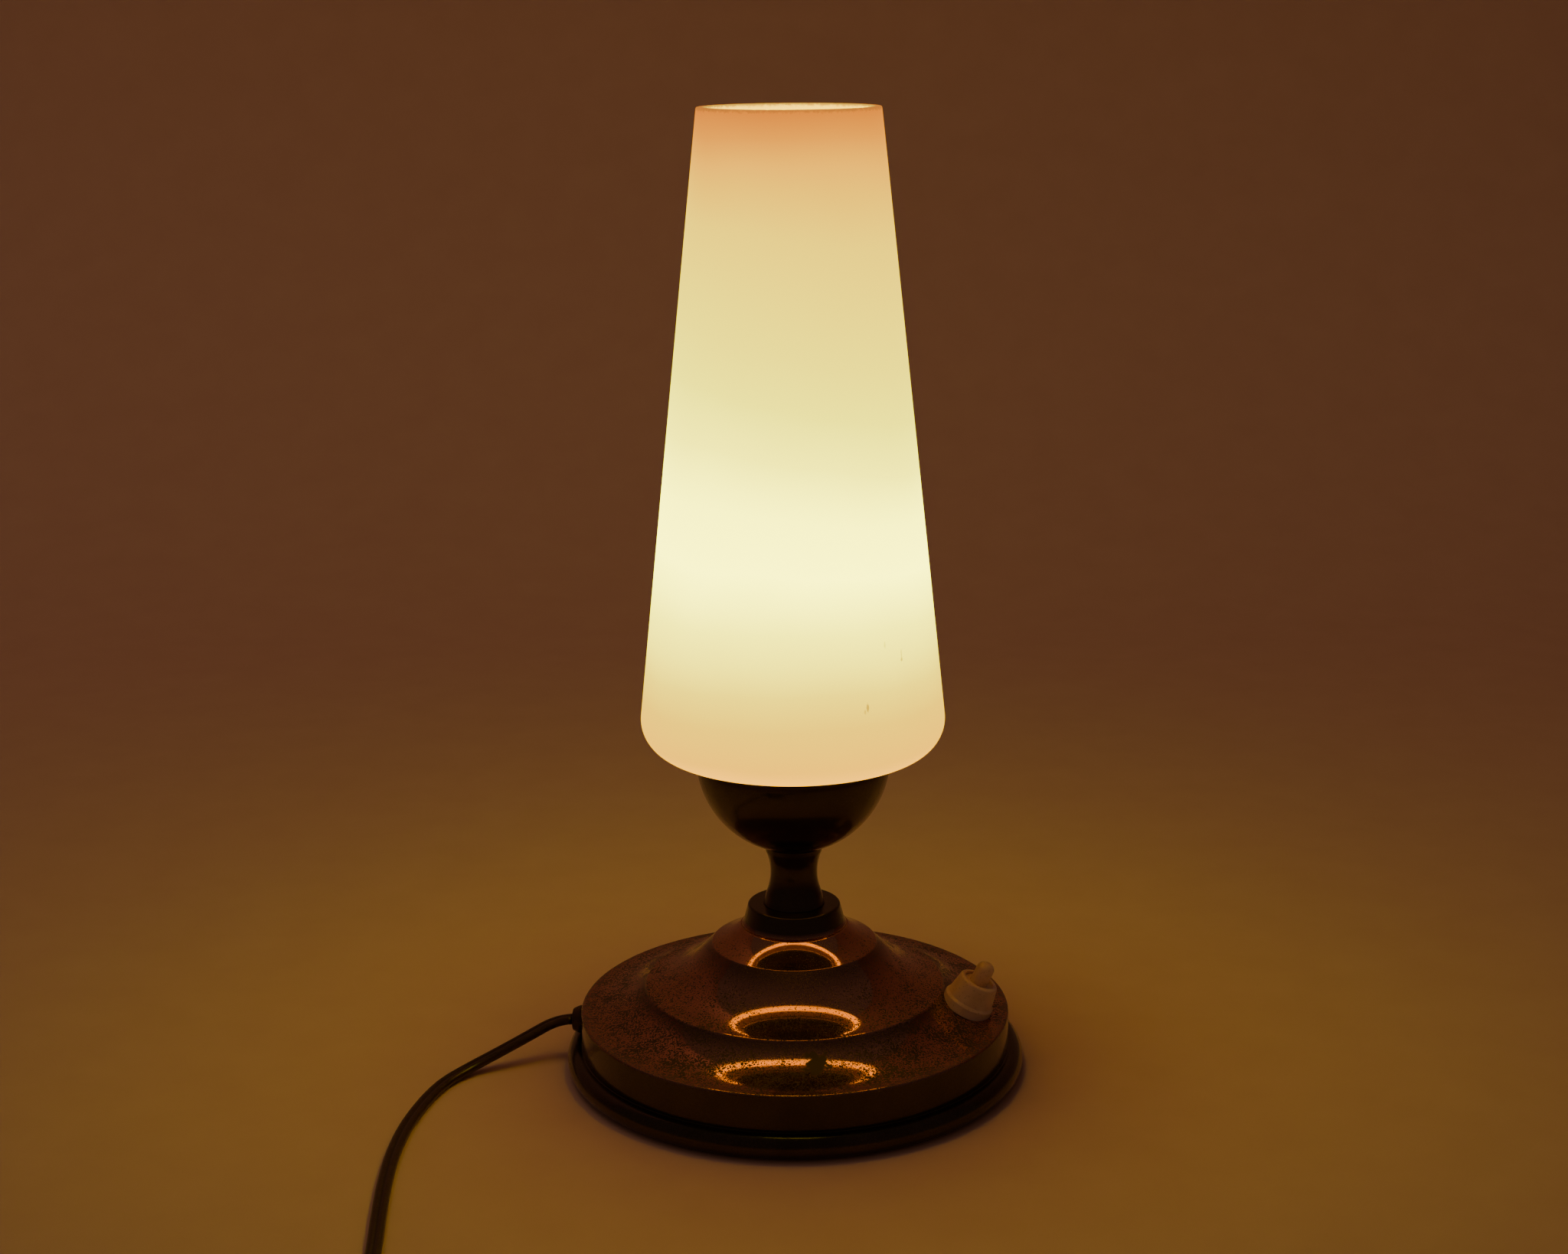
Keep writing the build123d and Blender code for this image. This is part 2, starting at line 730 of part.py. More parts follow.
switch_base_floor = switch_cavity_floor - switch_base_t
with BuildPart() as switch_base:
    base_points = box_outline(0, switch_body_r, switch_base_floor, switch_cavity_floor)
    revolve(outline(base_points, plane=switch_plane), axis=switch_line)
save(switch_base, "switch_base")

# The button carries a bridge that comes down on two fixed contacts
with BuildPart() as switch_bridge:
    with BuildSketch(across_switch(stem_floor)) as bridge_face:
        Rectangle(bridge_l, bridge_w)
    extrude(amount=-bridge_t)
save(switch_bridge, "switch_bridge")

with BuildPart() as switch_contacts:
    contact_top = stem_floor - bridge_t - button_travel - seat_gap
    with BuildSketch(across_switch(switch_cavity_floor)) as contact_face:
        with Locations((fixed_contact_span / 2, 0), (-fixed_contact_span / 2, 0)):
            Circle(fixed_contact_r)
    extrude(amount=contact_top - switch_cavity_floor)
save(switch_contacts, "switch_contacts")

with BuildPart() as switch_terminal_screws:
    with BuildSketch(across_switch(switch_base_floor)) as screw_face:
        with Locations((switch_screw_span / 2, 0), (-switch_screw_span / 2, 0)):
            Circle(switch_screw_r)
    extrude(amount=-switch_screw_h)
save(switch_terminal_screws, "switch_terminal_screws")

with BuildPart() as switch_spring:
    spring_low = switch_cavity_floor + spring_gap + spring_wire_r
    spring_high = flange_floor - spring_gap - spring_wire_r
    spring_l = spring_high - spring_low
    with BuildLine() as spring_path:
        spring_seat = switch_seat + switch_axis * spring_low
        Helix(spring_l / spring_turns, spring_l, spring_r, center=spring_seat, direction=switch_axis)
    with BuildSketch(Plane(spring_path.line @ 0, z_dir=spring_path.line % 0)) as spring_face:
        Circle(spring_wire_r)
    sweep(path=spring_path.line, is_frenet=True)
save(switch_spring, "switch_spring")

# Cord bush, snapped into the band
inner_face_d = sqrt((band_r - sheet_t) ** 2 - bush_flange_r**2) - play
outer_face_d = band_r + play
nose_d = outer_face_d + bush_flange_t + bush_nose_l
with BuildPart() as cord_bush:
    bush_points = [
        (bush_bore_r, inner_face_d - bush_flange_t),
        (bush_flange_r, inner_face_d - bush_flange_t),
        (bush_flange_r, inner_face_d),
        (bush_r, inner_face_d),
        (bush_r, outer_face_d),
        (bush_flange_r, outer_face_d),
        (bush_flange_r, outer_face_d + bush_flange_t),
        (bush_nose_r, nose_d),
        (bush_bore_r, nose_d),
    ]
    revolve(outline(bush_points, plane=cord_plane), axis=cord_line)
save(cord_bush, "cord_bush")

with BuildPart() as cord_inner:
    with BuildSketch(across_cord(cord_inner_d)) as cord_face:
        Circle(cord_r)
    extrude(amount=nose_d - cord_inner_d)
save(cord_inner, "cord_inner")


def rounded_run(points, most):
    """Corner radii for a run of points: as wide as the shorter of two runs lets a corner be, up to a limit."""
    bends = []
    for before, at, after in zip(points, points[1:], points[2:]):
        first = Vector(at) - Vector(before)
        second = Vector(after) - Vector(at)
        half_turn = radians(first.get_angle(second)) / 2
        bends.append(min(most, bend_share * min(first.length, second.length) / tan(half_turn)))
    return bends


def tube(points, bends, radius):
    """A round tube along straight runs joined by bends."""
    with BuildPart() as run:
        with BuildLine() as path:
            FilletPolyline(*points, radius=bends)
        with BuildSketch(Plane(path.line @ 0, z_dir=path.line % 0)) as face:
            Circle(radius)
        sweep(path=path.line)
    return run


# Leads under the weight: cord to switch, switch to holder, cord to holder
lead_z = (bottom_nut_z - tube_tail + lip_top_z) / 2
screw_mid = switch_base_floor - switch_screw_h / 2
screw_reach = switch_screw_r / cos(switch_tilt) + hole_play
terminal_at = switch_seat + switch_axis * screw_mid - switch_way * screw_reach
screw_side = switch_side * (switch_screw_span / 2)
lead_in = cord_level + cord_way * (cord_inner_d - play)
lead_side = cord_side * lead_pair
terminal_z = spigot_top_z - terminal_head_h - play
rise_z = cap_floor_z + lead_bend
bottom_washer_pass = bottom_washer_r + lead_bend

live_end = terminal_at - screw_side
live_points = [
    lead_in + lead_side,
    lead_in + lead_side - cord_way * lead_bend * 2,
    Vector(-bottom_washer_pass, -bottom_washer_pass, lead_z),
    Vector(bottom_washer_pass, -bottom_washer_pass - lead_bend, lead_z),
    live_end - switch_way * lead_bend * 3,
    live_end,
]
switched_end = terminal_at + screw_side
switched_points = [
    switched_end,
    switched_end - switch_way * lead_bend * 3,
    Vector(lead_offset, 0, lead_z),
    Vector(lead_offset, 0, rise_z),
    Vector(terminal_x, 0, rise_z),
    Vector(terminal_x, 0, terminal_z),
]
neutral_points = [
    lead_in - lead_side,
    lead_in - lead_side - cord_way * lead_bend * 2,
    Vector(-lead_offset, 0, lead_z),
    Vector(-lead_offset, 0, rise_z),
    Vector(-terminal_x, 0, rise_z),
    Vector(-terminal_x, 0, terminal_z),
]
column_bends = [lead_bend, lead_bend, lead_end_bend, lead_end_bend]
save(tube(live_points, [lead_bend] * 4, lead_r), "live_lead")
save(tube(switched_points, column_bends, lead_r), "switched_lead")
save(tube(neutral_points, column_bends, lead_r), "neutral_lead")

# Free cord: it dips from the bush to the table and comes forward on the left
coil_z = cord_r + coil_lift
route = [
    (-94.5, 2.8, 8.4),
    (-104.3, -3.9, 4.3),
    (-113.9, -12.0, cord_r),
    (-121.0, -26.0, cord_r),
    (-125.2, -46.0, cord_r),
    (-127.0, -67.5, cord_r),
    (-126.6, -88.0, cord_r),
    (-125.1, -109.0, cord_r),
    (-122.9, -132.0, cord_r),
    (-121.6, -155.0, cord_r),
    (-121.5, -178.0, coil_z),
    (-121.5, -200.0, coil_z),
]
exit_at = cord_level + cord_way * nose_d
free_points = [tuple(exit_at), tuple(exit_at + cord_way * exit_run)] + route
free_bends = rounded_run(free_points, free_bend_most)
print("free cord radii", [round(bend, 1) for bend in free_bends])
cord_free = tube(free_points, free_bends, cord_r)
save(cord_free, "cord_free")

# Coil: in along the table and out again in a second layer, tied, with the plug at its end
coil_start = Vector(route[-1])
coil_heart = coil_start + Vector(coil_r, -2 * cord_r, 0)
half_turns = coil_turns / 2
coil_in_r = coil_r - coil_pitch * (sqrt(half_turns**2 + coil_soft**2) - coil_soft)


def coil_at(turn):
    """The coil's centre line at a number of turns from its start, which is on its left."""
    off = turn - half_turns
    r = coil_in_r + coil_pitch * (sqrt(off**2 + coil_soft**2) - coil_soft)
    climb = min(max(off * 2 + 0.5, 0), 1)
    z = coil_layer * climb**2 * (3 - 2 * climb)
    way = 2 * pi * turn + pi
    return coil_heart + Vector(r * cos(way), r * sin(way), z)


def coil_way(turn):
    """The direction of the coil's centre line there."""
    step = 0.002
    if turn <= 0:
        return Vector(0, -1, 0)
    if turn >= coil_turns:
        return Vector(1, 0, 0)
    return (coil_at(turn + step) - coil_at(turn - step)).normalized()


tail_end = coil_at(coil_turns) + Vector(tail_l, 0, 0)
with BuildPart() as cord_coil:
    stations = [count / 4 for count in range(round(coil_turns * 4) + 1)]
    with BuildLine() as coil_path:
        Line(coil_start, coil_at(0))
        for first, last in zip(stations, stations[1:]):
            p, q = coil_at(first), coil_at(last)
            t, u = coil_way(first), coil_way(last)
            gap = q - p
            along = gap.dot(t + u)
            spread = 2 * (1 - t.dot(u))
            reach = (sqrt(along**2 + spread * gap.dot(gap)) - along) / spread
            middle = (p + q + (t - u) * reach) / 2
            TangentArc(p, middle, tangent=t)
            TangentArc(middle, q, tangent=(q - u * reach) - (p + t * reach))
        Line(coil_at(coil_turns), tail_end)
    with BuildSketch(Plane(coil_start, z_dir=(0, -1, 0))) as coil_face:
        Circle(cord_r)
    sweep(path=coil_path.wires()[0])
save(cord_coil, "cord_coil")

samples = [coil_at(count / 72) for count in range(round(coil_turns * 72) + 1)]
self_gap = min(
    (a - b).length for i, a in enumerate(samples[::3]) for b in samples[::3][i + 10 :]
)
print("coil gap between turns", round(self_gap - 2 * cord_r, 2))
coil_l = coil_path.wires()[0].length
free_l = cord_free.part.volume / (pi * cord_r**2)
print("cord length", round(nose_d - cord_inner_d + free_l + coil_l))
print("coil volume share", round(cord_coil.part.volume / (pi * cord_r**2 * coil_l), 4))

with BuildPart() as coil_tie:
    tie_turns = [count + 0.5 for count in range(floor(coil_turns))]
    tie_radii = [(coil_at(turn) - coil_heart).X for turn in tie_turns]
    tie_in = coil_heart.X + min(tie_radii) - cord_w / 2 - tie_gap
    tie_out = coil_heart.X + max(tie_radii) + cord_w / 2 + tie_gap
    tie_top = coil_z + coil_layer + cord_r + seat_gap
    with BuildSketch(Plane.XZ.offset(-coil_heart.Y - tie_w / 2)) as tie_face:
        with Locations(((tie_in + tie_out) / 2, (tie_top + tie_t) / 2)):
            RectangleRounded(tie_out - tie_in + 2 * tie_t, tie_top + tie_t, tie_round)
            RectangleRounded(tie_out - tie_in, tie_top - tie_t, tie_round - tie_t, mode=Mode.SUBTRACT)
    extrude(amount=tie_w)
save(coil_tie, "coil_tie")

# Plug, lying on the table
with BuildPart() as plug_body:
    plug_t = tail_end.Z * 2
    nose_x = tail_end.X + plug_nose_l
    back_x = tail_end.X + plug_l
    plug_points = [
        (tail_end.X, tail_end.Y - plug_nose_w / 2),
        (nose_x, tail_end.Y - plug_w / 2),
        (back_x, tail_end.Y - plug_w / 2),
        (back_x, tail_end.Y + plug_w / 2),
        (nose_x, tail_end.Y + plug_w / 2),
        (tail_end.X, tail_end.Y + plug_nose_w / 2),
    ]
    plug_rounds = [plug_round, plug_round, 0, 0, plug_round, plug_round]
    extrude(outline(plug_points, plug_rounds, Plane.XY), amount=plug_t)
save(plug_body, "plug_body")

with BuildPart() as plug_pins:
    pin_at = (back_x, tail_end.Y, tail_end.Z)
    with BuildSketch(Plane(pin_at, x_dir=(0, 1, 0), z_dir=(1, 0, 0))) as pin_face:
        with Locations((plug_pin_span / 2, 0), (-plug_pin_span / 2, 0)):
            Circle(plug_pin_r)
    extrude(amount=plug_pin_l)
save(plug_pins, "plug_pins")

print("shade top", round(shade_top_z, 2), "switch seat", switch_seat, "switch axis", switch_axis)
print("spring low z", round((switch_seat + switch_axis * spring_low).Z, 3), "ring z", round(ring_z, 2))
print("bulb top", round(collar_z + bulb_glass_h, 2), "holder top", round(sleeve_top_z, 2))
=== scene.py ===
# %% [markdown]
# # A small table lamp, lit
# The lamp is a tapering opal glass shade in a spun cup, on a waisted neck and a stepped base, with a push switch
# and a flat flex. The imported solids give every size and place. This lesson dresses them: smooth turned metal,
# glowing glass, aged ivory plastic and a soft cord.

# %% Load the frame
import json
from math import acos, asin, atan2, cos, degrees, pi, radians, sin, sqrt, tan

import bmesh
import bpy
from mathutils import Matrix, Vector, noise


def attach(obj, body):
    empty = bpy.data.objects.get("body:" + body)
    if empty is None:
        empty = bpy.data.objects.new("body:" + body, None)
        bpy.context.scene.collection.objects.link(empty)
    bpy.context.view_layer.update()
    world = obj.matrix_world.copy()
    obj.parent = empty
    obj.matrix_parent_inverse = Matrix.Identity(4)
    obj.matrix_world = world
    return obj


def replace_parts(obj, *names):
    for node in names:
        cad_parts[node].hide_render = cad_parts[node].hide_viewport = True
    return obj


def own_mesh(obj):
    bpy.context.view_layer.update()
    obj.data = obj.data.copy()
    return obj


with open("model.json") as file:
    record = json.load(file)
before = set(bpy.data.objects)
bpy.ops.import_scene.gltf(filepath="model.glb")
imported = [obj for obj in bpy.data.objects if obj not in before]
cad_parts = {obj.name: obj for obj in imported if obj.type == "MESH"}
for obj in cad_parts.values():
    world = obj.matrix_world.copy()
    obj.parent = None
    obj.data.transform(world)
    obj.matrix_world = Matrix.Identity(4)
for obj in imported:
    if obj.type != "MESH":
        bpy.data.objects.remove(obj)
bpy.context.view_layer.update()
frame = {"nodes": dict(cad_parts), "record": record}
for made in [o for o in bpy.data.objects if o.type in ("CAMERA", "LIGHT")]:
    bpy.data.objects.remove(made)

# %% [markdown]
# ## The camera
# The camera stands a little higher than the shade's rim and looks down by about fourteen degrees. The place and
# the focal length come from the widths of the rims and tiers, so the lens is set in millimetres and not by eye.
# The head of the tripod leans by less than half a degree, which the last turn about the view axis gives.

# %% Camera
mm = 0.001
focal_length, sensor_width = 55.337, 36
view_place, view_tilt, head_lean = Vector((-2.703, -763.58, 349.2)), 75.6185, -0.4267
lens_data = bpy.data.cameras.new("camera")
lens_data.sensor_fit = "HORIZONTAL"
lens_data.sensor_width, lens_data.lens = sensor_width, focal_length
lens_data.clip_start, lens_data.clip_end = 0.01, 20
camera = bpy.data.objects.new("camera", lens_data)
bpy.context.scene.collection.objects.link(camera)
view_turn = Matrix.Rotation(radians(view_tilt), 4, "X") @ Matrix.Rotation(radians(head_lean), 4, "Z")
camera.matrix_world = Matrix.Translation(view_place * mm) @ view_turn
bpy.context.scene.camera = camera
print("camera lens", round(lens_data.lens, 1), "mm")

# %% [markdown]
# ## The cord's route
# A flat twin flex leaves the band level, dips to the table and comes forward in one loose sweep. A few points, given
# in millimetres, guide a smooth spline, because a cord has no corners.

# %% Route
cord_wide, cord_thick = 4.9, 2.8
lie = cord_thick / 2
exit_angle, exit_r, exit_z = radians(176), 76.22, 13.6
out_way = Vector((cos(exit_angle), sin(exit_angle), 0))
cord_exit = out_way * exit_r + Vector((0, 0, exit_z))
first_run, first_dip = 5.5, 0.3
coil_side, coil_low = -121.5, 2.2
dip = [(-91.2, 0.2, 9.6), (-101.0, -4.6, 5.8), (-110.6, -9.6, 2.4)]
sweep = [(-119.2, -21.0), (-125.2, -46.0), (-127.0, -67.5), (-126.6, -88.0)]
sweep += [(-125.1, -109.0), (-122.9, -132.0), (-121.6, -155.0)]
to_coil = [(coil_side, -178.0, coil_low), (coil_side, -200.0, coil_low)]
route = [cord_exit, cord_exit + out_way * first_run - Vector((0, 0, first_dip))]
route += [Vector(p) for p in dip + [(x, y, lie) for x, y in sweep] + to_coil]
print("route points", len(route))

# %% [markdown]
# ## The coil
# The length that is put away lies in a tied coil with the plug beside it. Its turns are more points of the same
# spline, from a formula: they wind in along the table, climb at the middle, and wind out again in a second layer.

# %% Coil
coil_turns, coil_pitch, coil_r, coil_soft, coil_step = 8.25, 6.2, 41.75, 0.15, 3.4
points_a_turn = 16
coil_heart = Vector((coil_side + coil_r, -204.4, coil_low))
half_turns = coil_turns / 2
coil_in_r = coil_r - coil_pitch * (sqrt(half_turns**2 + coil_soft**2) - coil_soft)


def coil_at(turn):
    """The coil's line at a number of turns from its start, in millimetres."""
    off = turn - half_turns
    r = coil_in_r + coil_pitch * (sqrt(off**2 + coil_soft**2) - coil_soft)
    climb = min(max(off * 2 + 0.5, 0), 1)
    way = 2 * pi * turn + pi
    return coil_heart + Vector((r * cos(way), r * sin(way), coil_step * climb**2 * (3 - 2 * climb)))


plug_along, plug_z = 41.0, 8.1
plug_at = Vector((coil_heart.x + plug_along, coil_heart.y - coil_r, plug_z))
coil = [coil_at(count / points_a_turn) for count in range(round(coil_turns * points_a_turn) + 1)]
tail = [plug_at + Vector((-27, 0, -1.4)), plug_at + Vector((-12, 0, 0)), plug_at]
points = [p * mm for p in route + coil + tail]
print("coil points", len(coil), "all points", len(points))

# %% [markdown]
# ## Reading the spline back
# The cord's mesh follows points of the spline itself. `new_from_object` on a curve with no bevel gives them in
# order. The order and the clamped ends are set after the points are added, or the spline would stay straight runs.

# %% Smooth line of the cord
line_data = bpy.data.curves.new("cord_line", "CURVE")
line_data.dimensions = "3D"
line_data.resolution_u = 6
spline = line_data.splines.new("NURBS")
spline.points.add(len(points) - 1)
for knot, p in zip(spline.points, points):
    knot.co = (*p, 1)
spline.order_u = 3
spline.use_endpoint_u = True
line = bpy.data.objects.new("cord_line", line_data)
bpy.context.scene.collection.objects.link(line)
line_mesh = bpy.data.meshes.new_from_object(line.evaluated_get(bpy.context.evaluated_depsgraph_get()))
cord_path = [v.co.copy() for v in line_mesh.vertices]
bpy.data.meshes.remove(line_mesh)
bpy.data.objects.remove(line)
cord_long = sum((a - b).length for a, b in zip(cord_path, cord_path[1:]))
print("cord path points", len(cord_path), "length", round(cord_long, 3))

# %% [markdown]
# ## Plain meshes
# Some pieces are easiest as lists of points and faces. One helper makes the object, one turns the faces of a closed
# shell outwards, because a face that points inwards is shaded wrongly, and one joins rows of points by faces.


# %% Mesh helpers
def mesh_object(name, verts, faces):
    """A new smooth object at the origin from points and faces."""
    mesh = bpy.data.meshes.new(name)
    mesh.from_pydata([tuple(v) for v in verts], [], faces)
    mesh.validate()
    mesh.polygons.foreach_set("use_smooth", [True] * len(mesh.polygons))
    made = bpy.data.objects.new(name, mesh)
    bpy.context.scene.collection.objects.link(made)
    return made


def outward(made):
    """Merge doubles and point a closed mesh's faces outwards."""
    work = bmesh.new()
    work.from_mesh(made.data)
    bmesh.ops.remove_doubles(work, verts=work.verts, dist=1e-6)
    bmesh.ops.recalc_face_normals(work, faces=work.faces)
    work.to_mesh(made.data)
    work.free()
    return made


def skin(rows, n, closed=False):
    """Faces between rows of n points each: a tube with two ends, or a closed loop of rows."""
    faces = []
    for i in range(rows if closed else rows - 1):
        here, there = i * n, (i + 1) % rows * n
        faces += [(here + k, here + (k + 1) % n, there + (k + 1) % n, there + k) for k in range(n)]
    if not closed:
        last = (rows - 1) * n
        faces += [tuple(range(n)), tuple(range(last, last + n))]
    return faces


# %% [markdown]
# ## The flex
# Two round cores lie side by side in one sheath, so the section is a flat figure of eight. Sweeping a ring of
# points with the section's wide side kept level makes it lie as a flat flex does. The ring's place along the
# cord and across it goes into a UV map, for the sheath's finish.

# %% Flat twin flex
core_r, core_x = cord_thick / 2, (cord_wide - cord_thick) / 2
seam = pi - atan2(sqrt(core_r**2 - core_x**2), core_x)
right = [(core_x + core_r * cos(a), core_r * sin(a)) for a in [seam * (i / 6 - 1) for i in range(13)]]
section = right + [(-x, -y) for x, y in right[1:-1]]


def swept(name, path, ring):
    """A closed tube whose section keeps its wide side level."""
    verts, n = [], len(ring)
    for i, p in enumerate(path):
        way = (path[min(i + 1, len(path) - 1)] - path[max(i - 1, 0)]).normalized()
        side = way.cross(Vector((0, 0, 1))).normalized()
        up = side.cross(way)
        verts += [p + (side * x + up * y) * mm for x, y in ring]
    made = mesh_object(name, verts, skin(len(path), n))
    along = [0.0]
    for a, b in zip(path, path[1:]):
        along.append(along[-1] + (b - a).length)
    chart = made.data.uv_layers.new(name="along_and_across")
    for face in made.data.polygons:
        across = [v % n for v in face.vertices]
        wraps = max(across) - min(across) == n - 1
        for loop, k in zip(face.loop_indices, across):
            turn = n if wraps and k == 0 else k
            chart.data[loop].uv = (along[made.data.loops[loop].vertex_index // n], turn / n)
    return made


cord = outward(swept("cord", cord_path, section))
print("cord faces", len(cord.data.polygons))

# %% [markdown]
# ## Helpers for finishes
# A finish is a tree of nodes. A few helpers name the steps that come back all the time: arithmetic, a mix of two
# colours, noise, and a range that is clipped. A value that is the same all over is set on the shader's own socket.


# %% Node helpers
def put(tree, kind, inputs=None, **settings):
    """Add a node with its settings, and set or link its inputs by name or number."""
    node = tree.nodes.new(kind)
    for key, value in settings.items():
        setattr(node, key, value)
    for key, value in (inputs or {}).items():
        if isinstance(value, bpy.types.NodeSocket):
            tree.links.new(value, node.inputs[key])
        else:
            node.inputs[key].default_value = value
    return node


def finish(name, **sockets):
    """A material with its shader's fixed values set on the shader's own sockets."""
    material = bpy.data.materials.new(name)
    material.use_nodes = True
    shader = material.node_tree.nodes["Principled BSDF"]
    for key, value in sockets.items():
        shader.inputs[key.replace("_", " ")].default_value = value
    return material, material.node_tree, shader


def calc(tree, operation, a, b=0.0, c=0.0):
    """One step of arithmetic."""
    return put(tree, "ShaderNodeMath", {0: a, 1: b, 2: c}, operation=operation).outputs[0]


def mix(tree, share, a, b):
    """One colour into another."""
    return put(tree, "ShaderNodeMix", {0: share, 6: a, 7: b}, data_type="RGBA").outputs[2]


def grain(tree, vector, scale, detail=4.0, rough=0.55):
    """A cloud of values about one half."""
    inputs = {"Vector": vector, "Scale": scale, "Detail": detail, "Roughness": rough}
    return put(tree, "ShaderNodeTexNoise", inputs).outputs[0]


def spread(tree, value, low, high, to_low=0.0, to_high=1.0):
    """Stretch a range of values, and clip it."""
    inputs = {0: value, 1: low, 2: high, 3: to_low, 4: to_high}
    return put(tree, "ShaderNodeMapRange", inputs).outputs[0]


def between(tree, value, start, full, fade, end):
    """One inside a range of values, with soft ends."""
    return calc(tree, "MULTIPLY", spread(tree, value, start, full), spread(tree, value, fade, end, 1.0, 0.0))


# %% [markdown]
# ## The floor
# A pale sheet of paper runs under the lamp and up behind it in one sweep, so no corner shows. It is a strip of
# quads along a line with a quarter circle. Its fibres are a faint noise between two warm tones.

# %% Paper sweep
front_y, bend_y, bend_r, top_z, half_wide, bend_steps = -12.0, 0.55, 0.5, 2.5, 6, 16
paper_tones = (0.76, 0.48, 0.42, 1), (0.83, 0.55, 0.48, 1)
paper, tree, shader = finish("pale_paper", Roughness=0.9, Specular_IOR_Level=0.1)
place = put(tree, "ShaderNodeTexCoord").outputs["Object"]
fibre = grain(tree, place, 40.0)
tree.links.new(mix(tree, fibre, *paper_tones), shader.inputs["Base Color"])
bend = [pi / 2 * i / bend_steps for i in range(1, bend_steps + 1)]
sweep_line = [(front_y, 0.0), (bend_y, 0.0)]
sweep_line += [(bend_y + bend_r * sin(a), bend_r - bend_r * cos(a)) for a in bend]
sweep_line += [(bend_y + bend_r, top_z)]
verts = [(x, y, z) for y, z in sweep_line for x in (-half_wide, half_wide)]
faces = [(2 * i, 2 * i + 1, 2 * i + 3, 2 * i + 2) for i in range(len(sweep_line) - 1)]
floor = mesh_object("paper", verts, faces)
floor.data.materials.append(paper)
print("paper faces", len(faces))

# %% [markdown]
# ## The light
# The lamp is lit and should stay the brightest thing, so the studio is dim and warm. A large soft light from the
# left front and a weaker one from the right only show the shapes of the dark metal, and a third washes the paper
# behind. The polished base would mirror the lights as pale discs, so they are hidden from mirror reflections.


# %% Lights
def soft_light(name, place, towards, size, power, colour):
    """A round light that only shows by what it lights."""
    data = bpy.data.lights.new(name, "AREA")
    data.shape, data.size, data.energy, data.color = "DISK", size, power, colour
    made = bpy.data.objects.new(name, data)
    made.location, made.visible_glossy, made.visible_camera = place, False, False
    made.rotation_euler = (Vector(towards) - Vector(place)).to_track_quat("-Z", "Y").to_euler()
    bpy.context.scene.collection.objects.link(made)


lamp_middle, paper_behind = (0, 0, 0.12), (-0.4, 1.05, 1.0)
soft_light("key", (-2.1, -2.3, 2.6), lamp_middle, 4.6, 3.5, (1.0, 0.74, 0.56))
soft_light("fill", (2.9, -1.2, 2.2), lamp_middle, 4.0, 0.5, (1.0, 0.72, 0.54))
soft_light("wall_wash", (-0.6, 0.2, 2.4), paper_behind, 1.6, 3.2, (1.0, 0.66, 0.38))
surround_tone, surround_strength = (1.0, 0.58, 0.37, 1), 0.055
surround = bpy.data.worlds.new("surround")
surround.use_nodes = True
dim = surround.node_tree.nodes["Background"].inputs
dim["Color"].default_value, dim["Strength"].default_value = surround_tone, surround_strength
bpy.context.scene.world = surround
print("lights", len(bpy.data.lights))

# %% [markdown]
# ## Profiles of turned pieces
# Base, neck, cup, shade, switch and bush are all turned, spun or moulded round an axis, so each starts as a closed
# profile: a radius and a height for each point. Corners are rounded in the profile, with a point close to each end
# of a straight run, because a polished surface shows every bend of its shading.


# %% Profile of a turned piece
def rounded(corners, radii, step=0.8):
    """A closed outline with its corners rounded by arcs of short steps."""
    made = []
    for i, (corner, radius) in enumerate(zip(corners, radii)):
        here = Vector(corner)
        if not radius:
            made.append(tuple(here))
            continue
        back = (Vector(corners[i - 1]) - here).normalized()
        on = (Vector(corners[(i + 1) % len(corners)]) - here).normalized()
        half = back.angle(on) / 2
        heart = here + (back + on).normalized() * radius / sin(half)
        start = here + back * radius / tan(half) - heart
        turn = start.angle_signed(here + on * radius / tan(half) - heart)
        steps = max(6, round(abs(turn) * radius / step))
        for k in range(steps + 1):
            made.append(tuple(heart + Matrix.Rotation(-turn * k / steps, 2) @ start))
    return made


def held(outline, near=0.25):
    """The outline with a point near each end of every longer run."""
    made = []
    for a, b in zip(outline, outline[1:] + outline[:1]):
        a, b = Vector(a), Vector(b)
        made.append(a)
        if (b - a).length > 4 * near:
            step = (b - a).normalized() * near
            made += [a + step, b - step]
    return made


def arc(heart, r, start, end, steps):
    """Points on a circle from one angle to another."""
    angles = [radians(start + (end - start) * i / steps) for i in range(steps + 1)]
    return [(heart[0] + r * cos(a), heart[1] + r * sin(a)) for a in angles]


# %% [markdown]
# ## Geometry Nodes trees
# A tree has named inputs for its sizes and its finish. All trees here end in the same way: instances are made real
# and the finish is set. Inputs are set by the sockets' identifiers, and the result is kept as a plain mesh.


# %% Tree helpers
def new_tree(name, **kinds):
    """An empty tree, its named inputs, and the sockets that bring them in."""
    tree = bpy.data.node_groups.new(name, "GeometryNodeTree")
    inlets = {}
    for key, kind in kinds.items():
        title = key.replace("_", " ").capitalize()
        inlets[key] = tree.interface.new_socket(title, in_out="INPUT", socket_type=f"NodeSocket{kind}")
    tree.interface.new_socket("Piece", in_out="OUTPUT", socket_type="NodeSocketGeometry")
    return tree, inlets, put(tree, "NodeGroupInput").outputs


def end_tree(tree, shape, material):
    """Make a tree's instances real, set the finish, and give out the piece."""
    real = put(tree, "GeometryNodeRealizeInstances", {0: shape})
    dressed = put(tree, "GeometryNodeSetMaterial", {0: real.outputs[0], "Material": material})
    put(tree, "NodeGroupOutput", {"Piece": dressed.outputs[0]})
    print(tree.name, "tree nodes", len(tree.nodes))


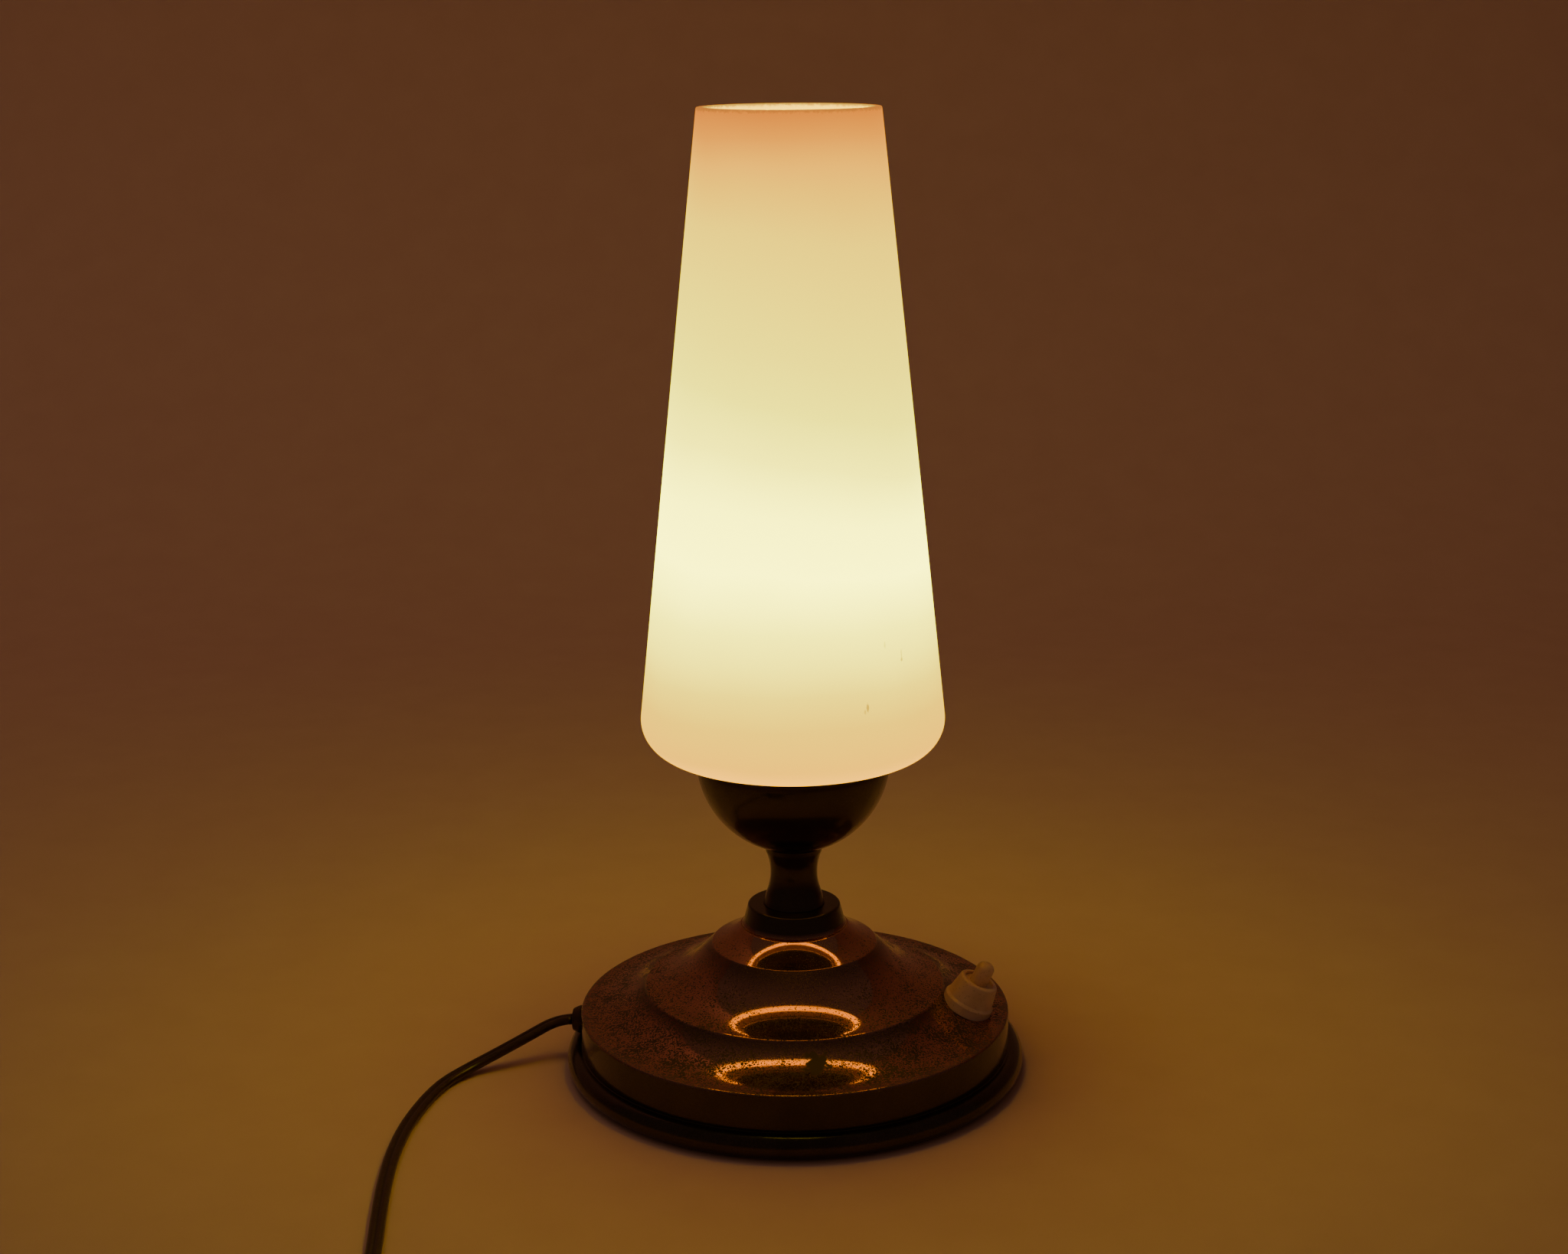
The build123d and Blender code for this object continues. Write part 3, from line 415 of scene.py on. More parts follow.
def baked(made, tree, inlets, **values):
    """Give an object a tree, set its inputs, and keep the result as a plain smooth mesh."""
    modifier = made.modifiers.new(tree.name, "NODES")
    modifier.node_group = tree
    for key, value in values.items():
        modifier[inlets[key].identifier] = value
    mesh = bpy.data.meshes.new_from_object(made.evaluated_get(bpy.context.evaluated_depsgraph_get()))
    made.modifiers.remove(modifier)
    made.data = mesh
    mesh.polygons.foreach_set("use_smooth", [True] * len(mesh.polygons))
    return outward(made)


# %% [markdown]
# ## Turning
# A lathe keeps the profile still and turns the work. Curve to Mesh does the same: it sweeps the profile round a
# circle. The circle is tiny, so that the profile's own radius is the radius of the piece. A Screw modifier could do
# it too, but the tree takes its number of steps and its finish as inputs.

# %% Turning tree
turning, turning_in, enter = new_tree(
    "turning", profile="Geometry", steps_round="Int", core_radius="Float", finish="Material"
)
outline_curve = put(turning, "GeometryNodeMeshToCurve", {"Mesh": enter["Profile"]})
round_sizes = {"Resolution": enter["Steps round"], "Radius": enter["Core radius"]}
circle = put(turning, "GeometryNodeCurvePrimitiveCircle", round_sizes)
curves = {"Curve": circle.outputs["Curve"], "Profile Curve": outline_curve.outputs["Curve"]}
swept_round = put(turning, "GeometryNodeCurveToMesh", curves)
end_tree(turning, swept_round.outputs["Mesh"], enter["Finish"])


def turned(name, outline, material, place=None, steps=160):
    """Turn a closed outline of radius and height, in millimetres, into a smooth piece."""
    spine = 1e-5
    verts = [(r * mm - spine, -z * mm, 0) for r, z in held(outline)]
    mesh = bpy.data.meshes.new(name)
    mesh.from_pydata(verts, [(i, (i + 1) % len(verts)) for i in range(len(verts))], [])
    made = bpy.data.objects.new(name, mesh)
    bpy.context.scene.collection.objects.link(made)
    baked(made, turning, turning_in, steps_round=steps, core_radius=spine, finish=material)
    if place:
        made.data.transform(place)
    return made


# %% [markdown]
# ## Patinated metal: where it is rubbed, and painted shade
# The base, neck and cup are spun brass with a brown patina. The tiers have been rubbed to a copper shine, while the
# band, the neck and the cup are darker: partly a duller patina, partly painted shade for the dark room that they
# mirror. A dark line of painted shade lies in the corner at the foot of each step. All this follows the height and
# the distance from the lamp's axis, and so do the fine turning rings.


# %% Rubbed places and painted shade
def round_axis(tree):
    """A piece's own place, its x, its z, and its distance from the lamp's axis."""
    place = put(tree, "ShaderNodeTexCoord").outputs["Object"]
    x, y, z = put(tree, "ShaderNodeSeparateXYZ", {0: place}).outputs
    flat = put(tree, "ShaderNodeCombineXYZ", {0: x, 1: y}).outputs[0]
    return place, x, z, put(tree, "ShaderNodeVectorMath", {0: flat}, operation="LENGTH").outputs["Value"]


patina, tree, shader = finish("patinated_metal", Coat_Weight=0.5, Coat_Roughness=0.42)
place, across, height, radius = round_axis(tree)
rings = put(tree, "ShaderNodeCombineXYZ", {0: radius, 1: height}).outputs[0]
ring_lines = grain(tree, rings, 2600.0, 2.0)
cloud = spread(tree, grain(tree, place, 45.0, 6.0, 0.62), 0.3, 0.72)
tier_heights = 0.0202, 0.0212, 0.0505, 0.0525
upper_corner, lower_corner, step_shade_share = (0.0276, 0.028, 0.0292, 0.0345), (0.0502, 0.0508, 0.0516, 0.055), 0.65
on_tiers = between(tree, height, *tier_heights)
# Painted shade: a dark line in the corner at the foot of each step, where the step above shades it.
painted_step_shade = calc(tree, "MAXIMUM", between(tree, radius, *upper_corner), between(tree, radius, *lower_corner))
out_of_step_shade = calc(tree, "SUBTRACT", 1.0, calc(tree, "MULTIPLY", painted_step_shade, step_shade_share))
# Tier tones go where the tiers are, outside the painted step shade; elsewhere the dark tones, partly patina and partly
# painted shade.
rubbed_and_unshaded = calc(tree, "MULTIPLY", on_tiers, out_of_step_shade)
print("patina nodes so far", len(tree.nodes))

# %% [markdown]
# ## Patinated metal: pits
# Damp has eaten many small pits into the tiers. They are dull, so they hardly show on the brown metal, but they cut
# dark specks into each bright reflection. Voronoi cells give their places: whatever is near the middle of a cell is
# a pit. There are more of them towards the rim and the sides. On the lower tier one larger spot has gone dull.

# %% Pits and the dull spot
pit_edge, spot_at, spot_edge, spot_ragged = 0.03, Vector((7.0, -56.8, 25.2)), (0.0096, 0.0106), 0.012
to_rim, to_sides = (0.02, 0.06, 0.6, 1.2), (0.008, 0.026, 0.95, 1.2)
off_middle = calc(tree, "ABSOLUTE", across)


def pitted(scale, low, high):
    """Dull pits round the middles of cells, denser towards the rim and the sides."""
    cells = put(tree, "ShaderNodeTexVoronoi", {"Vector": place, "Scale": scale}).outputs["Distance"]
    patch = spread(tree, grain(tree, place, 160.0, 3.0), 0.35, 0.7, low, high)
    patch = calc(tree, "MULTIPLY", patch, spread(tree, radius, *to_rim))
    patch = calc(tree, "MULTIPLY", patch, spread(tree, off_middle, *to_sides))
    return spread(tree, calc(tree, "SUBTRACT", cells, patch), -pit_edge, pit_edge, 1.0, 0.0)


pits = calc(tree, "MAXIMUM", pitted(1000.0, 0.2, 0.4), pitted(1900.0, 0.24, 0.4))
pits = calc(tree, "MULTIPLY", pits, spread(tree, on_tiers, 0.0, 1.0, 0.2, 1.0))
off_spot = put(tree, "ShaderNodeVectorMath", {0: place, 1: spot_at * mm}, operation="DISTANCE").outputs["Value"]
off_spot = calc(tree, "MULTIPLY_ADD", grain(tree, place, 380.0, 4.0), spot_ragged, off_spot)
spot = spread(tree, off_spot, *spot_edge, 1.0, 0.0)
dull = calc(tree, "MAXIMUM", pits, spot)
print("patina nodes so far", len(tree.nodes))

# %% [markdown]
# ## Patinated metal: tones and gloss
# Each tone drifts between two colours with a slow cloud. Pits and spot aren't metal any more but brown crust, so
# the metal share falls there and the surface is rough. Old lacquer lies over everything: the coat's wide, weak
# gloss gives its haze.

# %% Patina
tier_tones = (0.63, 0.315, 0.27, 1), (0.51, 0.245, 0.2, 1)
# Dark tones: partly a duller patina, partly painted shade for the dark room that the band, neck and cup mirror.
dark_patina_and_shade_tones = (0.085, 0.063, 0.056, 1), (0.046, 0.034, 0.03, 1)
pit_tone, spot_tone, metal_share, crust_rough = (0.045, 0.023, 0.014, 1), (0.03, 0.015, 0.009, 1), 0.95, 0.5
tone = mix(tree, rubbed_and_unshaded, mix(tree, cloud, *dark_patina_and_shade_tones), mix(tree, cloud, *tier_tones))
tone = mix(tree, spot, mix(tree, pits, tone, pit_tone), spot_tone)
tree.links.new(tone, shader.inputs["Base Color"])
tree.links.new(calc(tree, "MULTIPLY_ADD", dull, -metal_share, metal_share), shader.inputs["Metallic"])
worn = calc(tree, "MULTIPLY_ADD", cloud, 0.03, spread(tree, ring_lines, 0.3, 0.7, 0.025, 0.055))
worn = calc(tree, "ADD", worn, spread(tree, rubbed_and_unshaded, 0.0, 1.0, 0.09, 0.0))
crust = calc(tree, "POWER", dull, 4.0)
tree.links.new(calc(tree, "MULTIPLY_ADD", crust, crust_rough, worn), shader.inputs["Roughness"])
ripple = calc(tree, "MULTIPLY", grain(tree, place, 1500.0, 3.0), spread(tree, radius, 0.05, 0.062, 0.1, 0.7))
relief = calc(tree, "MULTIPLY_ADD", pits, -0.1, calc(tree, "MULTIPLY_ADD", ring_lines, 0.08, ripple))
bump = put(tree, "ShaderNodeBump", {"Strength": 0.2, "Distance": 0.08 * mm, "Height": relief})
tree.links.new(bump.outputs[0], shader.inputs["Normal"])
print("patina nodes", len(tree.nodes))

# %% [markdown]
# ## The base
# One disc of sheet is spun over a stepped form: a boss that flares out, two hollow tiers, each falling from a small
# step to a sharp edge, an upright band and a rolled bead at the foot. The hollows matter: they act as curved mirrors
# and gather the glowing underside of the shade into one bright bow on each tier. The profile runs down the outside,
# round the bead, and up the inside a sheet's thickness away.


# %% Base shell
def meeting(foot, foot_slope, edge, edge_slope):
    """Where the line down from a step's foot meets the line in from the next edge."""
    fall, rise = tan(radians(foot_slope)), tan(radians(edge_slope))
    r = (foot[1] + foot[0] * fall - edge[1] - edge[0] * rise) / (fall - rise)
    return (r, foot[1] - (r - foot[0]) * fall)


bore_r, boss_top, band_r, sheet = 5.13, 57.8, 72.5, 1.0
foot_2, edge_2, foot_3, edge_3 = (28.0, 43.9), (50.4, 29.8), (50.8, 29.0), (band_r, 21.0)
outer = [(15.4, boss_top), (17.0, 51.6), (21.0, 47.3), (27.7, 44.3), foot_2, meeting(foot_2, 45.0, edge_2, 10.0)]
outer += [edge_2, foot_3, meeting(foot_3, 39.9, edge_3, 0.6), edge_3]
outer_rounds = [0.8, 4.0, 24.0, 0.6, 0.6, 30.0, 0.8, 1.3, 32.0, 0.8]
bead_at, bead_r, bead_end = (73.4, 4.4), 4.1, -172
bead_start = 180 - degrees(acos((bead_at[0] - band_r) / bead_r))
bead = arc(bead_at, bead_r, bead_start, bead_end, 36)
lip = [(66.5, 3.8), (66.5, 4.8), (71.5, 4.8)]
inner = [(r - sheet, z - sheet) for r, z in reversed(outer)]
corners = [(bore_r, boss_top)] + outer + bead + lip + inner + [(bore_r, boss_top - sheet)]
rounds = [0] + outer_rounds + [0] * (len(bead) + len(lip)) + list(reversed(outer_rounds)) + [0]
base = turned("base", rounded(corners, rounds), patina, steps=224)
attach(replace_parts(base, "base_shell"), "lamp")
print("base faces", len(base.data.polygons), "corners", len(outer))

# %% [markdown]
# ## Neck and cup
# The neck is turned from bar, with a spreading foot and a waist. The cup is the lower half of a ball with a
# narrow band rolled round its lip. Arcs are drawn as points on their circles.

# %% Neck
neck_top, neck_head_r, neck_foot_r = 78.4, 9.8, 10.4
waist_z, waist_least, waist_rise, waist_in = 68.95, 7.85, 7.55, 1.55
waist_r = (waist_rise**2 + waist_in**2) / (2 * waist_in)
sweep_half = degrees(asin(waist_rise / waist_r))
waist = arc((waist_least + waist_r, waist_z), waist_r, 180 - sweep_half, 180 + sweep_half, 24)
neck_outline = [(bore_r, boss_top), (bore_r, neck_top), (neck_head_r, neck_top)] + waist + [(neck_foot_r, boss_top)]
neck = turned("neck", neck_outline, patina)
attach(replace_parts(neck, "neck"), "lamp")
print("neck faces", len(neck.data.polygons))

# %% Cup
cup_r, cup_wall, cup_seat_r, lip_r, lip_drop, lip_rise = 32.2, 1.0, 8.9, 32.6, 2.4, 0.7
cup_z = neck_top + sqrt(cup_r**2 - cup_seat_r**2)
hollow_r, hollow_z = cup_r - cup_wall, neck_top + cup_wall
ball_start, ball_end = degrees(asin((neck_top - cup_z) / cup_r)), degrees(asin(-lip_drop / cup_r))
ball = arc((0, cup_z), cup_r, ball_start, ball_end, 40)
hollow = arc((0, cup_z), hollow_r, 0, degrees(asin((hollow_z - cup_z) / hollow_r)), 30)
lip_corners = [(lip_r, cup_z - lip_drop), (lip_r, cup_z + lip_rise), (hollow_r, cup_z + lip_rise)]
cup_outline = ball + rounded(lip_corners, [0.3, 0.5, 0.3]) + hollow + [(bore_r, hollow_z), (bore_r, neck_top)]
cup = turned("cup", cup_outline, patina)
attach(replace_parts(cup, "cup"), "lamp")
print("cup faces", len(cup.data.polygons))

# %% [markdown]
# ## Opal glass, lit from inside
# The bulb lights the glass most at its own height, and the colour falls to orange at the rim, which is farthest
# away. The glow is a ramp of a few warm colours over the height, given to the emission of a satin shader. The bright
# part reaches higher on the left, so the ramp is shifted up there, except near the rim. It all reads the piece's own
# place, so it stays put from every side.


# %% Glow over the height
def ramp(tree, value, stops):
    """Colours along a range from 0 to 1."""
    node = put(tree, "ShaderNodeValToRGB", {0: value})
    while len(node.color_ramp.elements) < len(stops):
        node.color_ramp.elements.new(0.5)
    for element, (at, colour) in zip(node.color_ramp.elements, stops):
        element.position, element.color = at, (*colour, 1)
    return node.outputs[0]


glow_foot, rim_z, rim_r, taper_angle, drift_share = 106.0, 320.0, 28.9, radians(6.16), 0.05
glow_stops = [
    (0.0, (0.4, 0.17, 0.001)),
    (0.03, (0.38, 0.165, 0.001)),
    (0.06, (0.29, 0.14, 0.0)),
    (0.12, (0.28, 0.168, 0.0)),
    (0.17, (0.33, 0.24, 0.001)),
    (0.26, (0.55, 0.5, 0.006)),
    (0.34, (0.92, 0.9, 0.03)),
    (0.42, (0.82, 0.8, 0.02)),
    (0.5, (0.52, 0.48, 0.006)),
    (0.58, (0.38, 0.34, 0.001)),
    (0.66, (0.34, 0.275, 0.0)),
    (0.82, (0.29, 0.195, 0.0)),
    (0.92, (0.24, 0.105, 0.0)),
    (0.96, (0.19, 0.064, 0.0)),
    (1.0, (0.15, 0.038, 0.0)),
]
opal, tree, shader = finish("opal_glass", Roughness=0.3, Emission_Strength=8.0)
place, across, height, radius = round_axis(tree)
rise = spread(tree, height, glow_foot * mm, rim_z * mm)
drift = calc(tree, "MULTIPLY_ADD", grain(tree, place, 14.0, 2.0), drift_share, rise)
aside = calc(tree, "MULTIPLY", across, spread(tree, rise, 0.3, 0.6, 0.0, 1.1))
aside = calc(tree, "MULTIPLY", aside, spread(tree, rise, 0.76, 0.94, 1.0, 0.0))
drift = calc(tree, "ADD", drift, aside)
glow = ramp(tree, calc(tree, "SUBTRACT", drift, drift_share / 2), glow_stops)
print("opal nodes so far", len(tree.nodes))

# %% [markdown]
# ## Inside and underside of the glass
# The inner face near the mouth faces the bulb, so it has a steadier glow than the outside. It is told apart by its
# distance from the cone's line. Under the shade, the ring and the cup keep the light off the middle of the bottom:
# only the rounded outer part glows, and that part is what the tiers mirror.

# %% Dim parts of the glass
inner_glow, shaded_glow = (0.26, 0.18, 0.0, 1), (0.006, 0.0022, 0.0, 1)
inner_face, mouth, cup_shadow, underside = (-0.0026, -0.0018), (0.2, 0.26), (0.0401, 0.0414), (0.118, 0.13)
below_rim = calc(tree, "SUBTRACT", rim_z * mm, height)
wall_line = calc(tree, "MULTIPLY_ADD", below_rim, tan(taper_angle), rim_r * mm)
inside = spread(tree, calc(tree, "SUBTRACT", radius, wall_line), *inner_face, 1.0, 0.0)
inside = calc(tree, "MULTIPLY", inside, spread(tree, height, *mouth))
glow = mix(tree, inside, glow, inner_glow)
near_cup = spread(tree, radius, *cup_shadow, 0.985, 0.0)
shaded = calc(tree, "MULTIPLY", near_cup, spread(tree, height, *underside, 1.0, 0.0))
glow = mix(tree, shaded, glow, shaded_glow)
print("opal nodes so far", len(tree.nodes))

# %% [markdown]
# ## Wear on the glass
# The rim is ground flat and has lost some tiny flakes, which look brown against the light. Low on the right side are
# a few short upright streaks where the glaze has been scuffed. Each is a patch round a point on the glass, drawn out
# in height, with a ragged edge from noise. They only dim the glow, as dirt in front of a lit surface does.

# %% Scuffs and rim dirt
glow_dirt, dirt_share, skin_dirt = (0.07, 0.025, 0.004, 1), 0.7, (0.25, 0.14, 0.06, 1)
skin_tones, ragged_by = ((0.62, 0.45, 0.25, 1), (0.68, 0.5, 0.3, 1)), 2.2
dirt_from, dirt_full = rim_z - 1.1, rim_z - 0.3
ragged = calc(tree, "MULTIPLY", calc(tree, "SUBTRACT", grain(tree, place, 900.0), 0.5), ragged_by * mm)
dirt = spread(tree, calc(tree, "ADD", height, ragged), dirt_from * mm, dirt_full * mm)
scuffs = [
    ((23.2, -42.6, 138.1), 0.34, 0.3, 0.9),
    ((22.3, -43.05, 136.9), 0.32, 0.6, 0.6),
    ((34.1, -32.3, 152.3), 0.2, 0.12, 0.55),
    ((34.1, -32.4, 150.9), 0.36, 0.8, 0.85),
    ((28.7, -36.6, 156.7), 0.24, 0.25, 0.45),
]
for at, wide, squat, deep in scuffs:
    off = put(tree, "ShaderNodeVectorMath", {0: place, 1: Vector(at) * mm}, operation="SUBTRACT").outputs[0]
    off = put(tree, "ShaderNodeVectorMath", {0: off, 1: (1, 1, squat)}, operation="MULTIPLY").outputs[0]
    off = put(tree, "ShaderNodeVectorMath", {0: off}, operation="LENGTH").outputs["Value"]
    off = calc(tree, "MULTIPLY_ADD", ragged, 0.25, off)
    dirt = calc(tree, "MAXIMUM", dirt, spread(tree, off, wide * mm, wide * 1.6 * mm, deep, 0.0))
glow = mix(tree, calc(tree, "MULTIPLY", dirt, dirt_share), glow, glow_dirt)
tree.links.new(glow, shader.inputs["Emission Color"])
glass_tone = mix(tree, grain(tree, place, 60.0), *skin_tones)
tree.links.new(mix(tree, dirt, glass_tone, skin_dirt), shader.inputs["Base Color"])
print("opal nodes", len(tree.nodes), "scuffs", len(scuffs))

# %% [markdown]
# ## The shade
# The shade is blown into a mould: a long cone, a rounded shoulder at the foot and a shallow bottom with a hole for
# the holder. Its profile follows from two slopes and a wall. The flakes at the rim are real dents: points of the rim
# are lowered where a noise is high.

# %% Shade
bottom_angle, hole_r, hole_z, wall = radians(12), 14.8, 106.562, 3.2
bottom, taper = tan(bottom_angle), tan(taper_angle)
up_wall, side_wall = wall / cos(bottom_angle), wall / cos(taper_angle)


def shoulder(raise_by, narrow_by):
    """Where the cone's line and the bottom's line cross."""
    low = hole_z + raise_by - hole_r * bottom
    r = (rim_r - narrow_by + (rim_z - low) * taper) / (1 + bottom * taper)
    return (r, low + r * bottom)


shade_corners = [
    (hole_r, hole_z),
    shoulder(0, 0),
    (rim_r, rim_z),
    (rim_r - side_wall, rim_z),
    shoulder(up_wall, side_wall),
    (hole_r, hole_z + up_wall),
]
shade = turned("shade", rounded(shade_corners, [0.5, 11.2, 0.5, 0.5, 8.0, 0.5], 0.4), opal, steps=360)
flake_band, flake_deep = 0.4, 0.7
for v in shade.data.vertices:
    if v.co.z > (rim_z - flake_band) * mm:
        flake = max(0.0, noise.noise(v.co * 700) - 0.2)
        v.co.z -= min(flake, 0.5) * flake_deep * mm
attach(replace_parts(shade, "glass_shade"), "shade")

# %% [markdown]
# ## Plain finishes
# Most of the smaller pieces are moulded, plated, cast or woven. One helper gives each its two tones, its gloss and
# its grain from noise at that material's own scale. Squeezed coordinates draw the noise out into streaks.


# %% Mottled finish
def mottled(name, tones, scale, gloss, bump=0.0, squeeze=(1, 1, 1), **sockets):
    """A finish with two tones, a range of roughness and a fine grain, from noise on the piece's own place."""
    material, tree, shader = finish(name, **sockets)
    place = put(tree, "ShaderNodeTexCoord").outputs["Object"]
    place = put(tree, "ShaderNodeMapping", {"Vector": place, "Scale": squeeze}).outputs[0]
    tone = grain(tree, place, scale, 5.0)
    fine = grain(tree, place, scale * 6, 2.0)
    colours = [(*tone_rgb, 1) for tone_rgb in tones]
    tree.links.new(mix(tree, spread(tree, tone, 0.32, 0.68), *colours), shader.inputs["Base Color"])
    tree.links.new(spread(tree, fine, 0.3, 0.7, *gloss), shader.inputs["Roughness"])
    if bump:
        tilt = put(tree, "ShaderNodeBump", {"Strength": 0.5, "Distance": bump * mm, "Height": fine})
        tree.links.new(tilt.outputs[0], shader.inputs["Normal"])
    return material


# %% Moulded, glazed and woven
flex = mottled("brown_flex", ((0.03, 0.013, 0.008), (0.06, 0.026, 0.015)), 120, (0.24, 0.4), 0.04)
lead_brown = mottled("brown_lead", ((0.16, 0.06, 0.025), (0.22, 0.09, 0.04)), 200, (0.35, 0.5), 0.03)
lead_blue = mottled("blue_lead", ((0.03, 0.1, 0.28), (0.05, 0.14, 0.36)), 200, (0.35, 0.5), 0.03)
black_moulding = mottled("black_moulding", ((0.025, 0.02, 0.018), (0.05, 0.04, 0.033)), 90, (0.35, 0.55), 0.05)
glaze = mottled("white_glaze", ((0.78, 0.75, 0.68), (0.85, 0.82, 0.76)), 80, (0.12, 0.25), 0.02)
black_glass = mottled("black_glass", ((0.012, 0.012, 0.014), (0.03, 0.028, 0.03)), 200, (0.08, 0.2))
board = mottled("pressboard", ((0.2, 0.12, 0.06), (0.36, 0.24, 0.14)), 130, (0.7, 0.9), 0.12, (1, 0.35, 1))
felt = mottled("green_felt", ((0.03, 0.07, 0.035), (0.075, 0.14, 0.075)), 420, (0.9, 1.0), 0.4, Sheen_Weight=0.5)
tape = mottled("woven_tape", ((0.05, 0.045, 0.04), (0.11, 0.1, 0.085)), 500, (0.75, 0.95), 0.25, (1, 0.3, 1))
print("finishes", len(bpy.data.materials))

# %% Small metal pieces
brass_tones, zinc_tones = ((0.72, 0.5, 0.2), (0.6, 0.38, 0.13)), ((0.55, 0.55, 0.53), (0.42, 0.42, 0.4))
bright_brass = mottled("bright_brass", brass_tones, 150, (0.18, 0.35), 0.02, Metallic=1.0)
zinc = mottled("zinc_steel", zinc_tones, 160, (0.25, 0.45), 0.03, (1, 1, 0.2), Metallic=1.0)
cap_metal = mottled("cap_metal", ((0.66, 0.64, 0.6), (0.5, 0.48, 0.44)), 140, (0.25, 0.42), 0.02, Metallic=1.0)
wire = mottled("filament_wire", ((0.3, 0.28, 0.25), (0.2, 0.18, 0.16)), 400, (0.3, 0.5), Metallic=1.0)
cast = mottled("cast_weight", ((0.06, 0.058, 0.055), (0.13, 0.12, 0.11)), 220, (0.55, 0.8), 0.25, Metallic=0.6)
print("finishes", len(bpy.data.materials))

# %% [markdown]
# ## Aged ivory
# The switch is moulded from a cream plastic that light has yellowed. The yellow comes in patches, with faint specks
# of grime from many hands, and the gloss is uneven. The button is touched most, so it is a little darker and smoother.


# %% Ivory
def ivory(name, pale, dark, gloss):
    """Cream plastic with yellowed patches and faint specks of grime."""
    material, tree, shader = finish(name, Subsurface_Weight=0.12, Subsurface_Scale=0.002)
    place = put(tree, "ShaderNodeTexCoord").outputs["Object"]
    yellowed = mix(tree, spread(tree, grain(tree, place, 140.0, 4.0), 0.35, 0.7), (*pale, 1), (*dark, 1))
    specks = spread(tree, grain(tree, place, 1500.0, 2.0), 0.62, 0.72, 0.0, 0.5)
    tree.links.new(mix(tree, specks, yellowed, (0.3, 0.2, 0.1, 1)), shader.inputs["Base Color"])
    tree.links.new(spread(tree, grain(tree, place, 420.0), 0.3, 0.7, *gloss), shader.inputs["Roughness"])
    return material


collar_ivory = ivory("switch_ivory", (0.86, 0.65, 0.53), (0.72, 0.51, 0.39), (0.3, 0.45))
stud_ivory = ivory("button_ivory", (0.84, 0.62, 0.5), (0.68, 0.47, 0.35), (0.22, 0.36))
print("ivory", collar_ivory.name, stud_ivory.name)

# %% [markdown]
# ## The push switch
# The switch stands square to the lower tier's hollow: a flange that is moulded to the metal, a collar that narrows
# upwards, and a button with a rounded tip. All three are turned shapes, so the turning tree makes them upright and a
# matrix leans them on the seat. The button rides on its own body and slides along the same axis.

# %% Collar and button
seat, lean_way = Vector((57.4638, -10.9618, 24.2055)), Vector((0.408788, -0.07798, 0.909292))


def leaning(at, way):
    """The matrix that takes an upright piece to a place and a direction."""
    return Matrix.Translation(at * mm) @ Vector((0, 0, 1)).rotation_difference(way).to_matrix().to_4x4()


on_tier = leaning(seat, lean_way)
collar_corners = [(5.0, -0.3), (8.6, -0.3), (8.6, 2.9), (7.9, 3.7), (6.5, 10.8), (5.0, 10.8)]
collar_outline = rounded(collar_corners, [0, 0, 0.7, 0.5, 0.9, 0.25], 0.2)
collar = turned("switch_collar_moulding", collar_outline, collar_ivory, on_tier, 96)
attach(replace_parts(collar, "switch_collar"), "lamp")
button_corners = [(0.0, 17.6), (3.0, 17.6), (3.0, -3.08), (5.6, -3.08)]
button_corners += [(5.6, -4.28), (2.0, -4.28), (2.0, -7.58), (0.0, -7.58)]
button_outline = rounded(button_corners, [0, 2.4, 0, 0, 0, 0, 0, 0], 0.2)
button = turned("button_stud", button_outline, stud_ivory, on_tier, 64)
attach(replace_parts(button, "switch_button"), "button")
print("collar", len(collar.data.polygons), "button", len(button.data.polygons))

# %% [markdown]
# ## Where the cord leaves
# A small rubber bush is snapped into the band, so that the thin sheet can't cut the flex. It has a groove that holds
# the sheet and a nose that tapers towards the cord.

# %% Cord bush
bush_corners = [(3.0, 70.03), (4.8, 70.03), (4.8, 71.33), (3.9, 71.33), (3.9, 72.52)]
bush_corners += [(4.8, 72.52), (4.8, 73.82), (3.7, exit_r), (3.0, exit_r)]
bush_rounds = [0, 0.4, 0, 0, 0, 0.3, 0.5, 0.4, 0]
through_band = leaning(Vector((0, 0, exit_z)), out_way)
bush = turned("bush", rounded(bush_corners, bush_rounds, 0.15), flex, through_band, 72)
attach(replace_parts(bush, "cord_bush"), "lamp")
print("bush faces", len(bush.data.polygons))

# %% [markdown]
# ## Threads
# The bulb's cap is pressed metal with a coarse thread, and the holder's sleeve has a finer one for the ring that
# clamps the shade. A thread follows a spiral, so a second tree sweeps a small round section along a spiral curve.
# Modelling it is better than a bump, because the thread's edge shows against the light.

# %% Thread tree
thread, thread_in, enter = new_tree(
    "thread", start="Geometry", turns="Float", radius="Float", height="Float", ridge="Float", finish="Material"
)
spiral_sizes = {"Resolution": 48, "Rotations": enter["Turns"], "Height": enter["Height"]}
spiral_sizes |= {"Start Radius": enter["Radius"], "End Radius": enter["Radius"]}
spiral = put(thread, "GeometryNodeCurveSpiral", spiral_sizes)
ridge_round = put(thread, "GeometryNodeCurvePrimitiveCircle", {"Resolution": 10, "Radius": enter["Ridge"]})
curves = {"Curve": spiral.outputs[0], "Profile Curve": ridge_round.outputs["Curve"], "Fill Caps": True}
end_tree(thread, put(thread, "GeometryNodeCurveToMesh", curves).outputs[0], enter["Finish"])


def threaded(name, low, high, radius, turns, ridge, material):
    """A round ridge that winds about the upright axis between two heights, in millimetres."""
    sizes = {"radius": radius * mm, "height": (high - low) * mm, "ridge": ridge * mm}
    made = baked(mesh_object(name, [], []), thread, thread_in, turns=turns, finish=material, **sizes)
    made.data.transform(Matrix.Translation((0, 0, low * mm)))
    return made


